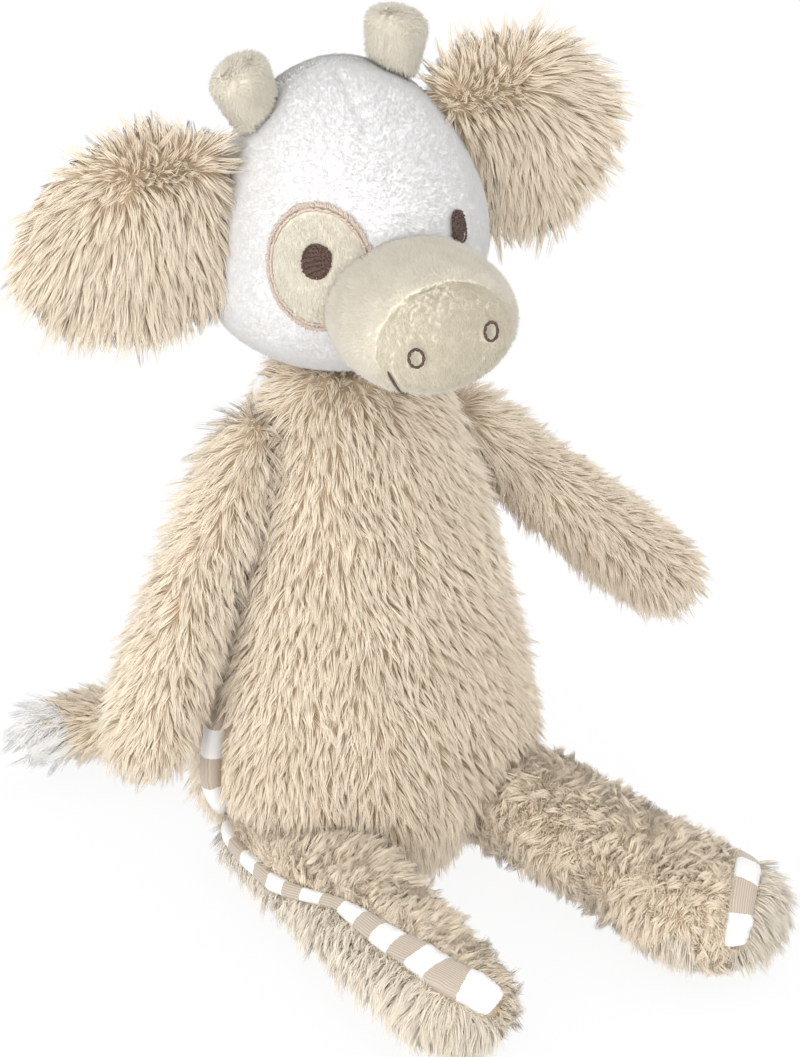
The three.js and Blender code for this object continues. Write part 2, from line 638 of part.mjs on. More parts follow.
// Tail, about its root on the torso's back
const tail = groupAt(cow, tailPivot);
const tailDrop = tailRadius - TAIL_PRESS - TAIL_ROOT;
const tailSpine = new THREE.CatmullRomCurve3([
  vec(0, -tailRadius, 0),
  vec(0, 0, 0),
  vec(-TAIL_BEND, TAIL_FALL, tailDrop * (TAIL_FALL / TAIL_REACH)),
  vec(-TAIL_CURL / 2, TAIL_REACH, tailDrop),
  vec(-TAIL_CURL, TAIL_REACH, tailDrop),
]);
const tailLength = tailSpine.getLength();
const tailForm = stuffedForm({
  spine: tailSpine,
  across: UP,
  stations: [
    [tailRadius, TAIL_DIAMETER, TAIL_DIAMETER],
    [tailLength - tailRadius, TAIL_DIAMETER, TAIL_DIAMETER],
  ],
  sides: 8,
  rings: 5,
});
const tailFloor = beyond(vec(0, 0, -TAIL_ROOT), UP);
const tailCover = solid(tailForm).intersect(tailFloor).subtract(grownSolid(tailForm, -FUR));
const tipSeam = vec(-TAIL_CURL + TAIL_TIP - tailRadius, 0, 0);
const atTip = beyond(tipSeam, vec(-1, 0, 0));
const atRoot = beyond(tipSeam.clone().setX(tipSeam.x + SEAM_GAP), LEFT);
piece(tail, "tail_cover", tailCover.intersect(atRoot), "fur");
piece(tail, "tail_tip_cover", tailCover.intersect(atTip), "whiteFur");
piece(tail, "tail_stuffing", grownSolid(tailForm, -FUR - SEAM_GAP), "stuffing");

export default cow;
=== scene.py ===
"""A seated plush cow: stuffed forms, sown with mesh strands of fur and short pile, striped jersey gussets
down the torso and legs, and an embroidered face. Lengths are in metres, angles in degrees unless it says
radians."""

import json
import math

import bmesh
import bpy
import numpy as np
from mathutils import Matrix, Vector
from mathutils.bvhtree import BVHTree


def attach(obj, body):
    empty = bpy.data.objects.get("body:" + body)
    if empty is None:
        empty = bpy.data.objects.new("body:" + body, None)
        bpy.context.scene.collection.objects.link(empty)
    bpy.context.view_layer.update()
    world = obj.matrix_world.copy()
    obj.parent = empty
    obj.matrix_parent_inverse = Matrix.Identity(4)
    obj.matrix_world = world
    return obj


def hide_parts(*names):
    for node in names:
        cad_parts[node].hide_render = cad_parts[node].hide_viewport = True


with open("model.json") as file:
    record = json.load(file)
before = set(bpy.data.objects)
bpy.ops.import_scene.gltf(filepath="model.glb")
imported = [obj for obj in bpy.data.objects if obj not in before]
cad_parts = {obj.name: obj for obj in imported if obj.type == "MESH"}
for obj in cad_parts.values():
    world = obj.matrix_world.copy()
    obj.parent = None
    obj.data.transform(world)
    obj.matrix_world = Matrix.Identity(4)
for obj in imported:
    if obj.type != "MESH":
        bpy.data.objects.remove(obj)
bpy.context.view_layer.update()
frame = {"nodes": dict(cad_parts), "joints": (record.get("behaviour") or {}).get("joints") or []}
scene = bpy.context.scene
MM = 0.001
UP = np.array((0.0, 0.0, 1.0))
DOWN = -UP
PILE_MAP = "OFBake"  # the map that carries each strand's shade across and its root to tip up
BAND_MAP = "Length"  # the map that carries the distances across and along a band of jersey


# Small helpers on rows of points


def unit(v):
    return v / np.maximum(np.linalg.norm(v, axis=-1, keepdims=True), 1e-12)


def span(v):
    """The length of each row."""
    return np.linalg.norm(v, axis=1)


def level(v, out):
    """The part of v that lies along the cloth whose outward normals are out."""
    v = np.broadcast_to(v, out.shape)
    return unit(v - (v * out).sum(1, keepdims=True) * out)


def turned(v, axis, angle):
    """v turned about axis by angle in radians."""
    c, s = np.cos(angle)[:, None], np.sin(angle)[:, None]
    return v * c + np.cross(axis, v) * s + axis * ((v * axis).sum(1, keepdims=True) * (1 - c))


def ripple(rng, points, wavelength, waves=8):
    """A smooth random number of about -1 to 1 at each point."""
    way = unit(rng.normal(size=(waves, 3))) * (2 * math.pi / wavelength)
    way *= rng.uniform(0.6, 1.5, (waves, 1))
    phase = rng.uniform(0, 2 * math.pi, waves)
    return np.sin(points @ way.T + phase).sum(1) / math.sqrt(waves)


def nearest(points, spots, at_once=4000):
    """For each point, the number of the nearest spot."""
    found = np.empty(len(points), int)
    square = (spots**2).sum(1)
    for start in range(0, len(points), at_once):
        some = slice(start, start + at_once)
        found[some] = (square - 2 * points[some] @ spots.T).argmin(1)
    return found


def smooth(low, high, x):
    """A soft step from 0 at low to 1 at high."""
    t = np.clip((x - low) / (high - low), 0, 1)
    return t * t * (3 - 2 * t)


def hump(x, width):
    """1 where x is 0, fading to 0 past width on both sides."""
    return np.exp(-((x / width) ** 2))


def cad_points(*nodes):
    """The vertices of CAD nodes."""
    return np.concatenate([[v.co for v in frame["nodes"][n].data.vertices] for n in nodes])


def middle(*nodes):
    """The middle of the box round CAD nodes."""
    points = cad_points(*nodes)
    return (points.min(0) + points.max(0)) / 2


def joint(name):
    """(position, axis) of a joint."""
    found = next(j for j in frame["joints"] if j["name"] == name)
    return np.array(found["pos_m"], float), unit(np.array(found["axis"], float))


# Materials


class Wire:
    """A value in a material. Sums on it add the nodes that work them out."""

    def __init__(self, tree, socket=None):
        self.tree = tree
        self.socket = socket

    def node(self, kind, settings=(), values=(), out=0):
        """Adds any node: its settings first, then its inputs, by name or number."""
        made = self.tree.nodes.new("ShaderNode" + kind)
        for key, value in dict(settings).items():
            setattr(made, key, value)
        for key, value in dict(values).items():
            if isinstance(value, Wire):
                self.tree.links.new(value.socket, made.inputs[key])
            else:
                made.inputs[key].default_value = value
        return Wire(self.tree, made.outputs[out])

    def maths(self, operation, a, b=0.0):
        return self.node("Math", {"operation": operation}, {0: a, 1: b})

    def __add__(self, other):
        return self.maths("ADD", self, other)

    def __mul__(self, other):
        return self.maths("MULTIPLY", self, other)

    def __pow__(self, other):
        return self.maths("POWER", self, other)

    __radd__ = __add__
    __rmul__ = __mul__

    def clamp(self, low, high):
        """0 at low, 1 at high and even between."""
        return self.node("MapRange", (), {0: self, 1: low, 2: high, 3: 0.0, 4: 1.0})

    def blend(self, low, high):
        """The colour between low and high."""
        return self.node("Mix", {"data_type": "RGBA"}, {0: self, 6: (*low, 1), 7: (*high, 1)}, out=2)


def material(name, roughness, sheen):
    """(material, its wires, its shader node) with the constants set."""
    made = bpy.data.materials.new(name)
    made.use_nodes = True
    shader = made.node_tree.nodes["Principled BSDF"]
    shader.inputs["Roughness"].default_value = roughness
    shader.inputs["Sheen Weight"].default_value = sheen
    shader.inputs["Sheen Roughness"].default_value = 0.5
    shader.inputs["Specular IOR Level"].default_value = 0.25
    return made, Wire(made.node_tree), shader


def feed(shader, wire, name):
    wire.tree.links.new(wire.socket, shader.inputs[name])


def map_wires(wire, name):
    """What a map carries across and along."""
    place = wire.node("UVMap", {"uv_map": name})
    return [wire.node("SeparateXYZ", (), {0: place}, out=axis) for axis in (0, 1)]


def mottle(wire, scale, detail=2.0):
    """A random grain in the object's own space."""
    place = wire.node("TexCoord", (), (), out=3)
    return wire.node("TexNoise", (), {"Vector": place, "Scale": scale, "Detail": detail})


def emboss(shader, height, strength, depth):
    """Makes a surface catch the light as if height were raised on it."""
    raised = height.node("Bump", (), {"Strength": strength, "Distance": depth, "Height": height})
    feed(shader, raised, "Normal")


def strand_material(name, root, tip, dark, light, roughness=0.65, sheen=0.25):
    """Fur that runs from its root colour to its tip colour, each strand a little darker or lighter."""
    made, wire, shader = material(name, roughness, sheen)
    across, along = map_wires(wire, PILE_MAP)
    # The roots are darker than the tips: partly the fibres' own colour, partly painted shade down among the
    # strands
    body = (along.clamp(0.05, 0.7) ** 0.75).blend(root, tip)
    tone = across.blend((dark, dark * 0.97, dark * 0.93), (light, light, light))
    multiply = {"data_type": "RGBA", "blend_type": "MULTIPLY"}
    feed(shader, wire.node("Mix", multiply, {0: 1.0, 6: body, 7: tone}, out=2), "Base Color")
    return made


def cloth_material(name, low, high, grain, roughness=0.8, sheen=0.3, bump=0.3):
    """Backing cloth or short nap: a mottled colour with a fine raised grain."""
    made, wire, shader = material(name, roughness, sheen)
    broad = mottle(wire, 60.0, 3.0)
    fine = mottle(wire, grain)
    shade = (broad * 0.5 + fine * 0.5).clamp(0.3, 0.7)
    feed(shader, shade.blend(low, high), "Base Color")
    emboss(shader, fine, bump, 0.6 * MM)
    return made


RIB_WIDTH = 0.85 * MM


def jersey_material(name, white, greige, stripe, first):
    """Jersey in even blocks of white and greige along its length, with fine ribs."""
    made, wire, shader = material(name, 0.85, 0.3)
    across, along = map_wires(wire, BAND_MAP)
    grain = mottle(wire, 900.0)
    block = wire.maths("FRACT", (along + first + grain * (0.8 * MM)) * (0.5 / stripe))
    dark = wire.maths("LESS_THAN", block, 0.5)
    rib = wire.maths("SINE", across * (2 * math.pi / RIB_WIDTH)) * 0.5 + 0.5
    shaded = (dark * (0.72 + rib * 0.28)).blend(white, greige)
    feed(shader, shaded, "Base Color")
    emboss(shader, rib * 0.7 + grain * 0.3, 0.25, 0.4 * MM)
    return made


def thread_material(name, low, high):
    """Shiny embroidery thread with a fine twist."""
    made, wire, shader = material(name, 0.42, 0.1)
    twist = mottle(wire, 1500.0)
    feed(shader, twist.clamp(0.35, 0.65).blend(low, high), "Base Color")
    emboss(shader, twist, 0.4, 0.3 * MM)
    return made


# Each root colour is darker than its tip: partly the fur's own colour, partly painted shade deep in the fur
VELOUR_WHITES = ((0.775, 0.775, 0.775), (0.795, 0.795, 0.795))
BEIGE = strand_material("beige_strands", (0.67, 0.54, 0.395), (0.97, 0.855, 0.695), 0.84, 1.05)
TOP_BEIGE = strand_material("curled_strands", (0.66, 0.53, 0.38), (0.97, 0.845, 0.675), 0.84, 1.05)
SOLE_CREAM = strand_material("pale_strands", (0.815, 0.715, 0.565), (0.915, 0.835, 0.705), 0.90, 1.03)
WHITE_STRANDS = strand_material("white_strands", (0.90, 0.895, 0.885), (0.97, 0.97, 0.965), 0.95, 1.0)
WHITE_PILE = strand_material("white_velour_pile", *VELOUR_WHITES, 0.985, 1.0, 0.9, 0.1)
CREAM_PILE = strand_material("cream_velour_pile", (0.63, 0.57, 0.44), (0.74, 0.685, 0.55), 0.94, 1.02, 0.8)
BRIDGE_PILE = strand_material("bridge_velour_pile", (0.70, 0.65, 0.535), (0.81, 0.765, 0.655), 0.9, 1.03, 0.8)
PATCH_PILE = strand_material("patch_velour_pile", (0.68, 0.625, 0.515), (0.80, 0.755, 0.65), 0.93, 1.03, 0.8)
# The beige backing is darker than the fur's roots: painted shade in the gaps between the tufts, over the
# cloth's own beige
BEIGE_BACKING_GAP_SHADE = cloth_material("beige_backing_gap_shade", (0.46, 0.355, 0.245), (0.58, 0.46, 0.325), 500.0)
CREAM_CLOTH = cloth_material("cream_backing", (0.70, 0.64, 0.52), (0.77, 0.715, 0.595), 700.0, bump=0.1)
WHITE_CLOTH = cloth_material("white_backing", *VELOUR_WHITES, 700.0, bump=0.05)
JERSEY = jersey_material("striped_jersey", (0.765, 0.765, 0.755), (0.41, 0.33, 0.245), 10.3 * MM, 4 * MM)
BORDER_THREAD = thread_material("beige_thread", (0.50, 0.395, 0.32), (0.70, 0.59, 0.50))
BROWN_THREAD = thread_material("brown_thread", (0.05, 0.027, 0.02), (0.14, 0.083, 0.062))


# Soft forms


def piece(name, mesh, look, body, slot, *nodes):
    """Adds a mesh as a piece of the object: its finish, the body it rides on and the nodes it stands for."""
    made = bpy.data.objects.new(name, mesh)
    scene.collection.objects.link(made)
    mesh.materials.append(look)
    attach(made, body)
    if nodes:
        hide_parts(*nodes)
    return made


def mesh_of(name, points, faces):
    mesh = bpy.data.meshes.new(name)
    mesh.from_pydata(np.reshape(points, (-1, 3)).tolist(), [], faces)
    mesh.update()
    mesh.shade_smooth()
    return mesh


def tube(rings, sides, first=0):
    """The faces of a tube of rings of points, numbered from first."""
    return [
        (a + k, a + (k + 1) % sides, a + sides + (k + 1) % sides, a + sides + k)
        for a in range(first, first + (rings - 1) * sides, sides)
        for k in range(sides)
    ]


def settle(made):
    """Makes an object's modifiers part of its mesh."""
    graph = bpy.context.evaluated_depsgraph_get()
    fresh = bpy.data.meshes.new_from_object(made.evaluated_get(graph), depsgraph=graph)
    old = made.data
    fresh.materials.clear()
    fresh.materials.append(old.materials[0])
    fresh.shade_smooth()
    made.modifiers.clear()
    made.data = fresh
    bpy.data.meshes.remove(old)


def rows_of(made, what):
    rows = np.empty(len(made.data.vertices) * 3)
    made.data.vertices.foreach_get(what, rows)
    return rows.reshape(-1, 3)


def places(made):
    return rows_of(made, "co")


def outward(made):
    return rows_of(made, "normal")


def move(made, points):
    made.data.vertices.foreach_set("co", np.ascontiguousarray(points).ravel())
    made.data.update()


def stuff(made, held, cap, pressure=4.0, steps=20):
    """Blows a cover up against its seams, as stuffing does, by no more than cap. held(points) is true on
    the seams."""
    rest = places(made)
    seam = made.vertex_groups.new(name="seam")
    seam.add([int(k) for k in np.flatnonzero(held(rest))], 1.0, "REPLACE")
    cloth = made.modifiers.new("Stuffing", "CLOTH")
    cloth.settings.quality = 4
    cloth.settings.use_pressure = True
    cloth.settings.uniform_pressure_force = pressure
    cloth.settings.effector_weights.gravity = 0.0
    cloth.settings.vertex_group_mass = "seam"
    cloth.collision_settings.use_self_collision = False
    for step in range(1, steps + 1):
        scene.frame_set(step)
    graph = bpy.context.evaluated_depsgraph_get()
    shift = places(made.evaluated_get(graph)) - rest
    made.modifiers.remove(cloth)
    scene.frame_set(1)
    far = np.linalg.norm(shift, axis=1, keepdims=True)
    move(made, rest + shift * np.minimum(1, cap / np.maximum(far, 1e-9)))


def form(
    name, look, body, slot, nodes, source=(),
    voxel=4 * MM, ease=5, swell=0.0, held=None, cap=1 * MM,
):
    """A closed stuffed form that stands for CAD nodes: the hull of source, or of the nodes themselves,
    remeshed evenly, swollen a little and stuffed against its seams."""
    shell = bmesh.new()
    for point in cad_points(*(source or nodes)):
        shell.verts.new(point)
    bmesh.ops.convex_hull(shell, input=shell.verts)
    bmesh.ops.delete(shell, geom=[v for v in shell.verts if not v.link_faces], context="VERTS")
    mesh = bpy.data.meshes.new(name)
    shell.to_mesh(mesh)
    shell.free()
    made = piece(name, mesh, look, body, slot, *nodes)
    even = made.modifiers.new("Even", "REMESH")
    even.mode = "VOXEL"
    even.voxel_size = voxel
    eased = made.modifiers.new("Ease", "SMOOTH")
    eased.iterations = ease
    settle(made)
    move(made, places(made) + outward(made) * swell)
    if held:
        stuff(made, held, cap)
    finer = made.modifiers.new("Finer", "SUBSURF")
    finer.levels = finer.render_levels = 1
    settle(made)
    return made


class Skin:
    """A form's triangles, ready to be sown."""

    def __init__(self, made):
        mesh = made.data
        mesh.calc_loop_triangles()
        corners = np.empty(len(mesh.loop_triangles) * 3, np.int32)
        mesh.loop_triangles.foreach_get("vertices", corners)
        self.corners = corners.reshape(-1, 3)
        self.points = places(made)
        self.out = outward(made)
        a, b, c = (self.points[self.corners[:, k]] for k in range(3))
        self.area = span(np.cross(b - a, c - a)) / 2
        self.centre = (a + b + c) / 3
        self.facing = unit(np.cross(b - a, c - a))
        self.tree = BVHTree.FromPolygons(self.points.tolist(), self.corners.tolist())

    def panels(self, *nodes):
        """For each triangle, which of the CAD nodes lies nearest over it."""
        over = self.centre + self.facing * 3 * MM
        gaps = []
        for n in nodes:
            mesh = frame["nodes"][n].data
            tree = BVHTree.FromPolygons([v.co for v in mesh.vertices], [p.vertices for p in mesh.polygons])
            gaps.append([tree.find_nearest(p)[3] for p in over])
        return np.array(gaps).argmin(0)

    def sow(self, rng, per_mm2, chosen=True):
        """Evenly strewn roots on the chosen triangles, or on all, and the way out there."""
        weight = self.area * chosen
        pick = rng.choice(len(weight), int(weight.sum() * 1e6 * per_mm2), p=weight / weight.sum())
        share = rng.dirichlet((1, 1, 1), len(pick))[:, :, None]
        at = self.corners[pick]
        return (self.points[at] * share).sum(1), unit((self.out[at] * share).sum(1))

    def cast(self, start, way, raised=0.0):
        """(point, outward normal) where a line first meets the form, or nearest to its start, with the
        point raised off it."""
        start, way = Vector(start), Vector(way)
        point, out, *_ = self.tree.ray_cast(start, way)
        if point is None:
            point, out, *_ = self.tree.find_nearest(start)
        out = unit(np.array(out if out @ way >= 0 else -out))
        return np.array(point) + out * raised, out


# Strands


def spokes(path, out, turns):
    """The ways out from rows of points, square to each row and turned round it from its side."""
    way = np.gradient(path, axis=1)
    side = unit(np.cross(way, out[:, None, :]))
    rise = unit(np.cross(side, way))
    return np.cos(turns)[:, None] * side[:, :, None, :] + np.sin(turns)[:, None] * rise[:, :, None, :]


def strand_mesh(name, path, out, fat, shade, own):
    """Three-sided spikes that follow rows of points from root to tip. They catch the light as the cloth
    does, but for the share own, as round strands do."""
    count, rings = path.shape[0], path.shape[1] - 1
    taper = np.linspace(1.0, 0.0, rings + 1)[:rings] ** 0.55
    spread = spokes(path, out, np.radians((90, 330, 210)))[:, :rings] * taper[:, None, None]
    body = path[:, :rings, None, :] + spread * fat[:, None, None, None]
    points = np.concatenate([body.reshape(count, rings * 3, 3), path[:, rings:, :]], 1)
    each = rings * 3 + 1
    tips = [(each - 4 + k, each - 4 + (k + 1) % 3, each - 1) for k in range(3)]
    faces = tube(rings, 3) + tips
    loop = np.array([v for f in faces for v in f])
    starts = np.cumsum([0] + [len(f) for f in faces])[:-1]
    loops = (loop[None, :] + np.arange(count)[:, None] * each).ravel()
    begin = (starts[None, :] + np.arange(count)[:, None] * len(loop)).ravel()
    mesh = bpy.data.meshes.new(name)
    mesh.vertices.add(count * each)
    mesh.vertices.foreach_set("co", points.astype(np.float32).ravel())
    mesh.loops.add(len(loops))
    mesh.loops.foreach_set("vertex_index", loops.astype(np.int32))
    mesh.polygons.add(len(begin))
    mesh.polygons.foreach_set("loop_start", begin.astype(np.int32))
    mesh.update(calc_edges=True)
    across = np.append(np.tile((-0.004, 0.0, 0.004), rings), 0.0)
    height = np.append(np.repeat(np.arange(rings) / rings, 3), 1.0)
    # Kept clear of the map's edges
    u = np.clip(shade, 0, 1)[:, None] * 0.97 + 0.015 + across[loop][None, :]
    v = np.broadcast_to(height[loop] * 0.98 + 0.01, u.shape)
    uv = np.stack([u, v], 2).astype(np.float32).ravel()
    mesh.uv_layers.new(name=PILE_MAP).data.foreach_set("uv", uv)
    mesh.shade_smooth()
    cloth = out[:, None, :]
    facing = unit(spread.reshape(count, rings * 3, 3) * own + cloth * (1 - own))
    facing = np.concatenate([facing, cloth], 1)
    mesh.normals_split_custom_set_from_vertices(facing.reshape(-1, 3))
    return mesh


def sown(rng, root, out, comb, each, long, lift, sway, tuft, gather, hang, curl, rise, steps):
    """(paths, each one's tuft) of strands that stand on roots, lean along comb and gather into tufts."""
    count = len(root)
    heads = rng.choice(count, max(1, int(count / (each * tuft))), replace=False)
    mine = nearest(root, root[heads])
    own, shared = rng.normal(size=count), rng.normal(size=len(heads))[mine]
    turn = np.radians(sway) * (0.8 * ripple(rng, root, 35 * MM) + 0.7 * shared + 0.35 * own)
    along = turned(level(comb, out), out, turn)
    reach = long * rng.uniform(0.8, 1.12, count) * (1 + 0.12 * rng.normal(size=len(heads))[mine])
    tilt = np.radians(rise + 6 * rng.normal(size=count) + 7 * rng.normal(size=len(heads))[mine])
    bend = np.radians(curl) * (0.4 * rng.normal(size=count) + rng.choice((-1, 1), len(heads))[mine])
    path = np.empty((count, steps + 1, 3))
    path[:, 0] = root - out * 0.4 * MM
    for k in range(steps):
        share = (k + 0.5) / steps
        angle = np.radians(lift[0] + (lift[1] - lift[0]) * share) + tilt
        way = turned(along, out, bend * share) * np.cos(angle)[:, None] + out * np.sin(angle)[:, None]
        path[:, k + 1] = path[:, k] + unit(way + DOWN * hang * share**1.5) * (reach / steps)[:, None]
    pull = gather * (np.arange(steps + 1) / steps) ** 1.3
    path += pull[None, :, None] * (path[heads][mine] - path)
    return path, mine


def fur(
    name, skin, chosen, comb, look, body, slot, nodes, seed,
    each=1.7, long=10 * MM, lift=(62, 27), sway=18, tuft=4, gather=0.74, hang=0.2, curl=0, fat=0.2 * MM,
    steps=2, tone=0.5, own=0.58, press=None, rise=None,
):
    """A panel's fur as one piece. comb(points, normals) is the way it lies, press(points, normals) its
    share of the length and rise(points) how many degrees further up it stands."""
    rng = np.random.default_rng(seed)
    root, out = skin.sow(rng, each, chosen)
    size = long * (press(root, out) if press else np.ones(len(root)))
    up = rise(root) if rise else 0.0
    way = comb(root, out)
    path, mine = sown(rng, root, out, way, each, size, lift, sway, tuft, gather, hang, curl, up, steps)
    path[:, :, 2] = np.maximum(path[:, :, 2], rng.uniform(0.3, 1.6, len(root))[:, None] * MM)
    shade = tone + 0.13 * rng.normal(size=len(root)) + 0.16 * rng.normal(size=mine.max() + 1)[mine]
    shade += 0.12 * ripple(rng, root, 30 * MM)
    thick = fat * rng.uniform(0.8, 1.2, len(root))
    share = own(out)[:, None, None] if callable(own) else own
    return piece(name, strand_mesh(name, path, out, thick, shade, share), look, body, slot, *nodes)


def nap(
    name, root, out, comb, look, body, slot, nodes, seed,
    long=2.2 * MM, lift=55, sway=40, fat=0.24 * MM, own=0.25,
):
    """Short pile as one piece: a single spike at each root."""
    rng = np.random.default_rng(seed)
    turn = np.radians(sway) * (ripple(rng, root, 12 * MM) + 0.4 * rng.normal(size=len(root)))
    along = turned(level(comb, out), out, turn)
    angle = np.radians(lift + 9 * rng.normal(size=len(root)))[:, None]
    reach = long * rng.uniform(0.75, 1.15, len(root))[:, None]
    start = root - out * 0.25 * MM
    path = np.stack([start, start + (along * np.cos(angle) + out * np.sin(angle)) * reach], 1)
    shade = 0.5 + 0.18 * rng.normal(size=len(root)) + 0.2 * ripple(rng, root, 8 * MM)
    thick = fat * rng.uniform(0.8, 1.2, len(root))
    return piece(name, strand_mesh(name, path, out, thick, shade, own), look, body, slot, *nodes)


# Strips and stitches


def gusset(name, spots, widths, raised, body, nodes, seed, stretch=1.0):
    """A band of jersey laid on a form along spots, rows of (point, normal), with its edges tucked into
    the seams."""
    rng = np.random.default_rng(seed)
    centre = np.array([s[0] for s in spots])
    out = unit(np.array([s[1] for s in spots]))
    for _ in range(4):
        out[1:-1] = unit(out[:-2] + 2 * out[1:-1] + out[2:])
        centre[1:-1] = (centre[:-2] + 2 * centre[1:-1] + centre[2:]) / 4
    way = unit(np.gradient(centre, axis=0))
    side = unit(np.cross(out, way))
    length = np.append(0, np.cumsum(span(np.diff(centre, axis=0))))
    across = np.linspace(-1, 1, 9)
    puckers = rng.normal(size=(len(spots), 1)) * 0.25 * MM
    rows = []
    for q in across:
        arch = raised * (1 - 0.3 * abs(q) ** 4)
        height = arch[:, None] + puckers * (abs(q) > 0.7)
        rows.append(centre + side * (q * widths[:, None]) + out * height)
    top = np.stack(rows, 1)
    under = np.stack([centre + side * (q * widths[:, None]) - out * 0.5 * MM for q in across[::-1]], 1)
    ring = 2 * len(across)
    mesh = mesh_of(name, np.concatenate([top, under], 1), tube(len(spots), ring))
    last = (len(spots) - 1) * ring
    whole = bmesh.new()
    whole.from_mesh(mesh)
    whole.verts.ensure_lookup_table()
    for end in (range(ring)[::-1], range(last, last + ring)):
        whole.faces.new([whole.verts[k] for k in end])
    bmesh.ops.recalc_face_normals(whole, faces=whole.faces)
    place = whole.loops.layers.uv.new(BAND_MAP)
    tables = np.concatenate([across, across[::-1]])
    for face in whole.faces:
        for corner in face.loops:
            row, column = divmod(corner.vert.index, ring)
            corner[place].uv = (tables[column] * widths[row], length[row] / stretch)
    whole.to_mesh(mesh)
    whole.free()
    mesh.shade_smooth()
    return piece(name, mesh, JERSEY, body, "striped_jersey", *nodes)


class Stitches:
    """Stitches on the head, taken one by one and sewn as one piece."""

    def __init__(self):
        self.lines = []
        self.outs = []

    def take(self, start, end, arch):
        """One stitch between two places, each a (point, normal): it rises from the cloth, runs over it and
        goes back in."""
        steps = np.linspace(0, 1, 6)[:, None]
        rise = arch * np.sin(steps * math.pi) ** 0.5 - 0.25 * MM
        self.lines.append(start[0] + (end[0] - start[0]) * steps + start[1] * rise)
        self.outs.append(start[1])

    def loop(self, place, turns, step, arch):
        """Stitches round a loop. place(angle) is the (point, normal) there."""
        for turn in turns:
            self.take(place(turn), place(turn + step), arch)

    def sew(self, name, fat, look, slot, node, sides=6):
        """Makes round threads of them, drawn in at both ends."""
        lines, out = np.array(self.lines), np.array(self.outs)
        count, rings = lines.shape[:2]
        size = fat * np.sin(np.linspace(0.12, 0.88, rings) * math.pi) ** 0.35
        spread = spokes(lines, out, np.arange(sides) * 2 * math.pi / sides)
        points = lines[:, :, None, :] + spread * size[:, None, None]
        faces = []
        for first in range(0, count * rings * sides, rings * sides):
            last = first + (rings - 1) * sides
            faces += tube(rings, sides, first)
            faces.append(tuple(range(first, first + sides))[::-1])
            faces.append(tuple(range(last, last + sides)))
        piece(name, mesh_of(name, points, faces), look, "head", slot, node)


# The torso

torso = form(
    "torso_body", BEIGE_BACKING_GAP_SHADE, "torso", "beige_fur", ["torso_stuffing"],
    held=lambda p: (np.abs(p[:, 1]) < 3 * MM) & (np.abs(p[:, 0]) > 15 * MM) | (p[:, 2] < 9 * MM),
    cap=2.5 * MM,
)
# A fuller left side
bulge = places(torso)
low = smooth(0.0, 0.03, bulge[:, 2]) * smooth(0.17, 0.13, bulge[:, 2])
wide = smooth(0, 40 * MM, bulge[:, 0]) * low
move(torso, bulge + np.outer(wide, (4.5 * MM, 0, 0)))
torso_skin = Skin(torso)


def gusset_line(z):
    """How far back the torso's gusset lies at a height."""
    return (6.5 + 11 * smooth(0.160, 0.182, z) - 0.2 * smooth(0.095, 0.070, z)) * MM


BAND_HEIGHTS = (0.195, 0.036)
BARE_BESIDE, BARE_LOW_FRONT = 4.2 * MM, 7.0 * MM  # how near a band the fur begins

torso_panel = (torso_skin.centre[:, 1] > gusset_line(torso_skin.centre[:, 2])).astype(int)
bare = np.zeros(len(torso_panel), bool)
for side, sign, seed in (("right", -1, 31), ("left", 1, 32)):
    heights = np.linspace(*BAND_HEIGHTS, 60)
    spots = [torso_skin.cast((0, gusset_line(z), z), (sign, 0, 0)) for z in heights]
    # Sunk between the hip and the neck, where the fur closes over it
    sunk = smooth(0.064, 0.074, heights) * smooth(0.180, 0.170, heights)
    gusset(
        f"torso_gusset_{side}_band", spots, (3.4 - 0.8 * sunk) * MM, (5.8 - 4.6 * sunk) * MM, "torso",
        [f"torso_gusset_{side}"], seed,
    )
    line = np.array([s[0] for s in spots])[sunk < 0.5]
    gap = torso_skin.centre - line[nearest(torso_skin.centre, line)]
    low_front = (torso_skin.centre[:, 2] < 0.075) & (gap[:, 1] < 0)
    bare |= span(gap) < np.where(low_front, BARE_LOW_FRONT, BARE_BESIDE)


def by_hip(root):
    """How near each point is to the low part of the gusset, where the fur is trimmed."""
    off = root[:, 1] - gusset_line(root[:, 2])
    return hump(off, 9 * MM) * smooth(0.080, 0.062, root[:, 2])


def torso_comb(root, out):
    """Down the torso, spreading a little from the neck and leaning off the gusset low down."""
    spread = root * (1, 1, 0)
    off = np.sign(root[:, 1] - gusset_line(root[:, 2])) * by_hip(root) * 0.8
    return DOWN + 0.35 * unit(spread) * smooth(0.15, 0.19, root[:, 2])[:, None] + np.outer(off, (0, 1, 0))


for number, (face, seed) in enumerate((("front", 11), ("back", 12))):
    for side, sign in (("right", -1), ("left", 1)):
        half = (torso_panel == number) & ~bare & (torso_skin.centre[:, 0] * sign >= 0)
        fur(
            f"torso_{face}_fur_{side}", torso_skin, half, torso_comb, BEIGE, "torso", "beige_fur",
            [f"torso_{face}_panel"], seed * 10 + sign, each=1.52,
            press=lambda root, out: 1 - 0.5 * by_hip(root),
        )

form(
    "neck_body", BEIGE_BACKING_GAP_SHADE, "neck", "fibre_stuffing", ["neck_stuffing"],
    voxel=3 * MM, swell=-1 * MM,
)


# The head and face

head_at, head_side = joint("head_nod")
head_back = unit(np.cross(UP, head_side))
head_up = np.cross(head_side, head_back)
HEAD_WAYS = np.stack([head_side, head_back, head_up])


def in_head(point):
    """A point's place in the head's own directions: to its left, back and up."""
    return (point - head_at) @ HEAD_WAYS.T


def from_head(places_there):
    """The points that lie at places in the head's own directions."""
    return head_at + places_there @ HEAD_WAYS


head = form(
    "head_body", WHITE_CLOTH, "head", "white_velour", ["head_stuffing"], ease=14, swell=1.2 * MM,
    held=lambda p: (np.abs(in_head(p)[:, 1]) < 3 * MM) | (in_head(p)[:, 2] < -40 * MM),
    cap=2.5 * MM,
)
